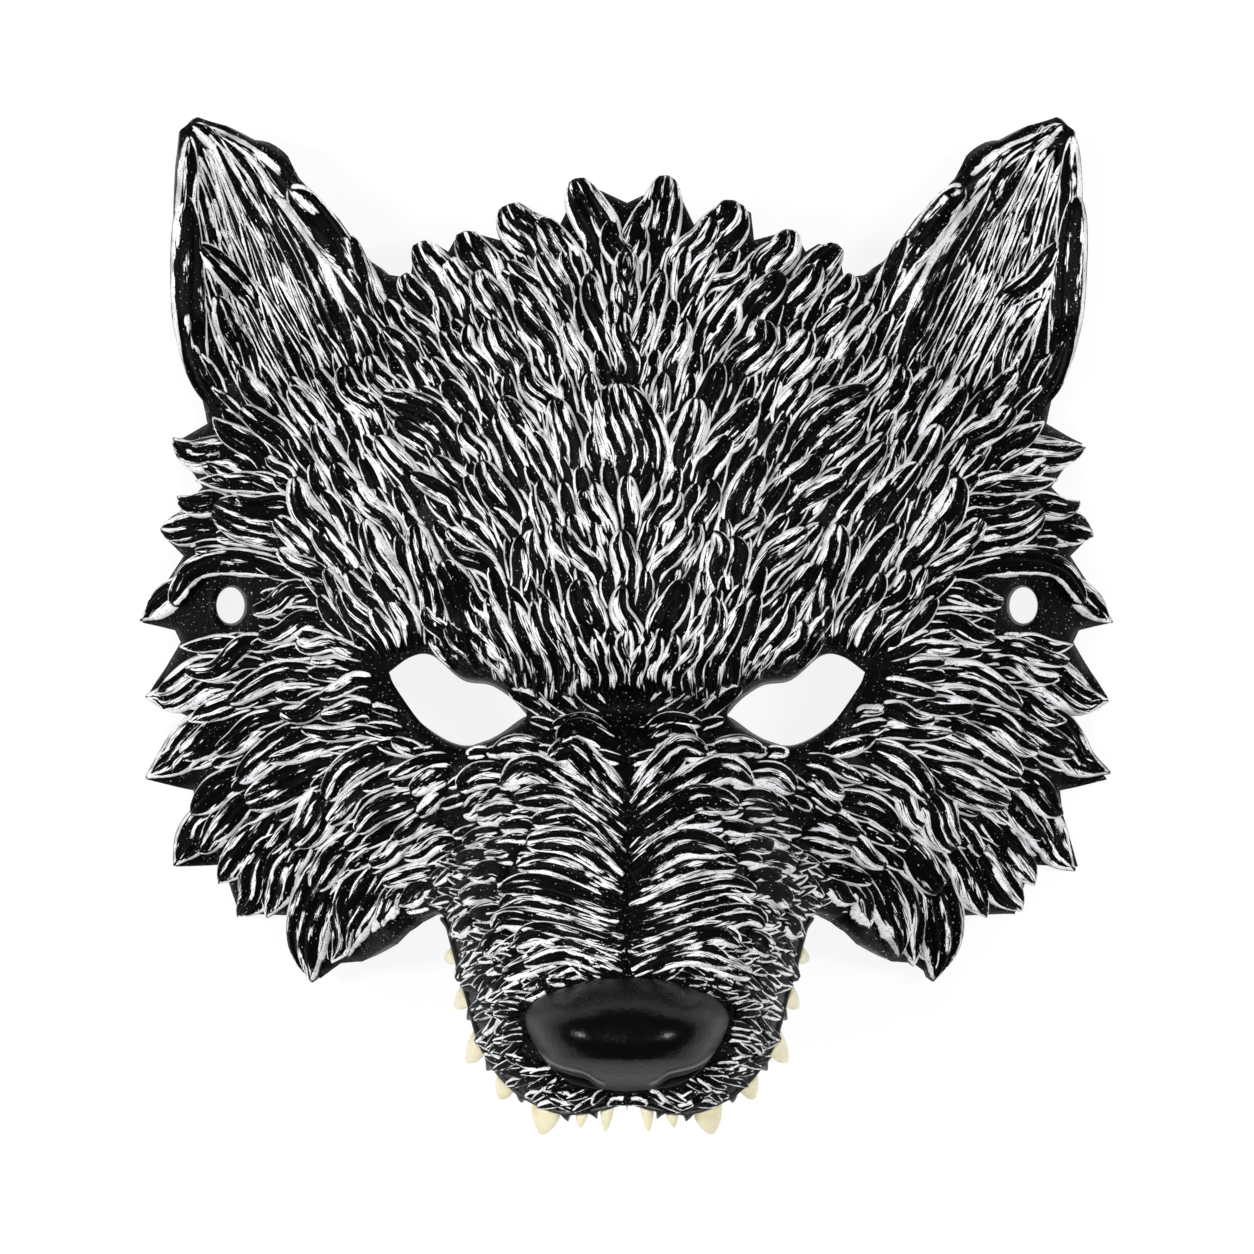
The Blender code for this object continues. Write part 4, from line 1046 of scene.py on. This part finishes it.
def tooth_material():
    """Ivory with faint stains."""
    shader = Shader("ivory")
    place = shader.nodes.new("ShaderNodeTexCoord").outputs["Object"]
    stains = shader.step(shader.noise(place, 260.0, 3.0), .35, .75)
    return shader.finish(
        base_color=shader.mix(stains, (.80, .74, .52, 1), (.70, .62, .40, 1)),
        roughness=.34,
        normal=shader.bump(shader.noise(place, 500.0, 2.0), .0001),
    )


def build_fur(material):
    """All the locks, from the under layer up, each region as a piece of its own."""
    rng = np.random.default_rng(7)
    loops = half_loops(STRAP_HOLE_FRONT)
    regions = {
        "fur_crown": table_tufts(CROWN_LOCKS, rng, LOCK_HEIGHT),
        "fur_brow": table_tufts(BROW_LOCKS, rng, LOCK_HEIGHT) + table_tufts(CENTRE_LOCKS, rng, LOCK_HEIGHT, (1,)),
        "fur_fringe": table_tufts(FRINGE_LOCKS, rng, LOCK_HEIGHT * .85, form=FULL_FORM),
        "fur_temple": table_tufts(TEMPLE_LOCKS, rng, LOCK_HEIGHT, edge=loops[0]),
        "fur_cheek": table_tufts(CHEEK_LOCKS, rng, LOCK_HEIGHT, edge=loops[0]),
        "fur_ear": table_tufts(EAR_LOCKS, rng, LOCK_HEIGHT * .7) + fan_tufts(rng),
        "fur_muzzle": table_tufts(MUZZLE_LOCKS, rng, LOCK_HEIGHT * .6, form=FULL_FORM),
    }
    guides = [tuft for tufts in regions.values() for tuft in tufts if tuft.line[:, 0].mean() <= 0]
    for group, tufts in under_tufts(guides, loops, rng).items():
        regions["under_" + group] = tufts
    for name, tufts in regions.items():
        item = add_fur(name, tufts, material)
        print(name, len(tufts), "locks", sum(len(face.vertices) - 2 for face in item.data.polygons), "triangles")


def build_studio():
    """A pale floor, soft light from above and the camera that looks straight down."""
    mesh = bpy.data.meshes.new("floor")
    reach = 6.0
    mesh.from_pydata([(-reach, -reach, 0), (reach, -reach, 0), (reach, reach, 0), (-reach, reach, 0)], [],
                     [(0, 1, 2, 3)])
    floor = bpy.data.objects.new("floor", mesh)
    floor.location.z = -.0002
    shader = Shader("paper")
    mesh.materials.append(shader.finish(base_color=(.13, .13, .13, 1), roughness=.9,
                                        emission_color=(1, 1, 1, 1), emission_strength=.88))
    bpy.context.scene.collection.objects.link(floor)

    world = bpy.data.worlds.new("studio")
    bpy.context.scene.world = world
    world.use_nodes = True
    world.node_tree.nodes["Background"].inputs["Color"].default_value = (1, 1, 1, 1)
    world.node_tree.nodes["Background"].inputs["Strength"].default_value = .06
    for name, place, size, length, power in (
        ("key", (-1.2, .12, 1.45), .24, .8, 18), ("fill", (.68, .12, 1.5), .18, .6, 10),
        ("back", (.1, 1.5, 1.6), 1.4, 1.4, 14), ("front", (-.1, -1.5, 1.4), 1.4, 1.4, 12),
        ("left", (-1.7, -.2, 1.1), 1.2, 1.2, 9), ("right", (1.7, -.2, 1.1), 1.2, 1.2, 9),
    ):
        light = bpy.data.objects.new(name, bpy.data.lights.new(name, "AREA"))
        light.data.shape = "ELLIPSE"
        light.data.size = size
        light.data.size_y = length
        light.data.energy = power
        light.visible_glossy = name in ("key", "fill")
        light.location = place
        light.rotation_euler = (Vector((0, 0, .05)) - Vector(place)).to_track_quat("-Z", "Y").to_euler()
        bpy.context.scene.collection.objects.link(light)

    camera = bpy.data.objects.new("camera", bpy.data.cameras.new("camera"))
    camera.data.sensor_width = 36
    camera.data.lens = 36 * 2.4 / .3365
    camera.location = (0, -.0025, 2.4)
    bpy.context.scene.collection.objects.link(camera)
    bpy.context.scene.camera = camera
    bpy.context.scene.view_settings.view_transform = "Standard"


build_skin(skin_material())
build_fur(fur_material())
build_nose(nose_material())
build_gum(gum_material())
build_teeth(tooth_material())
build_studio()
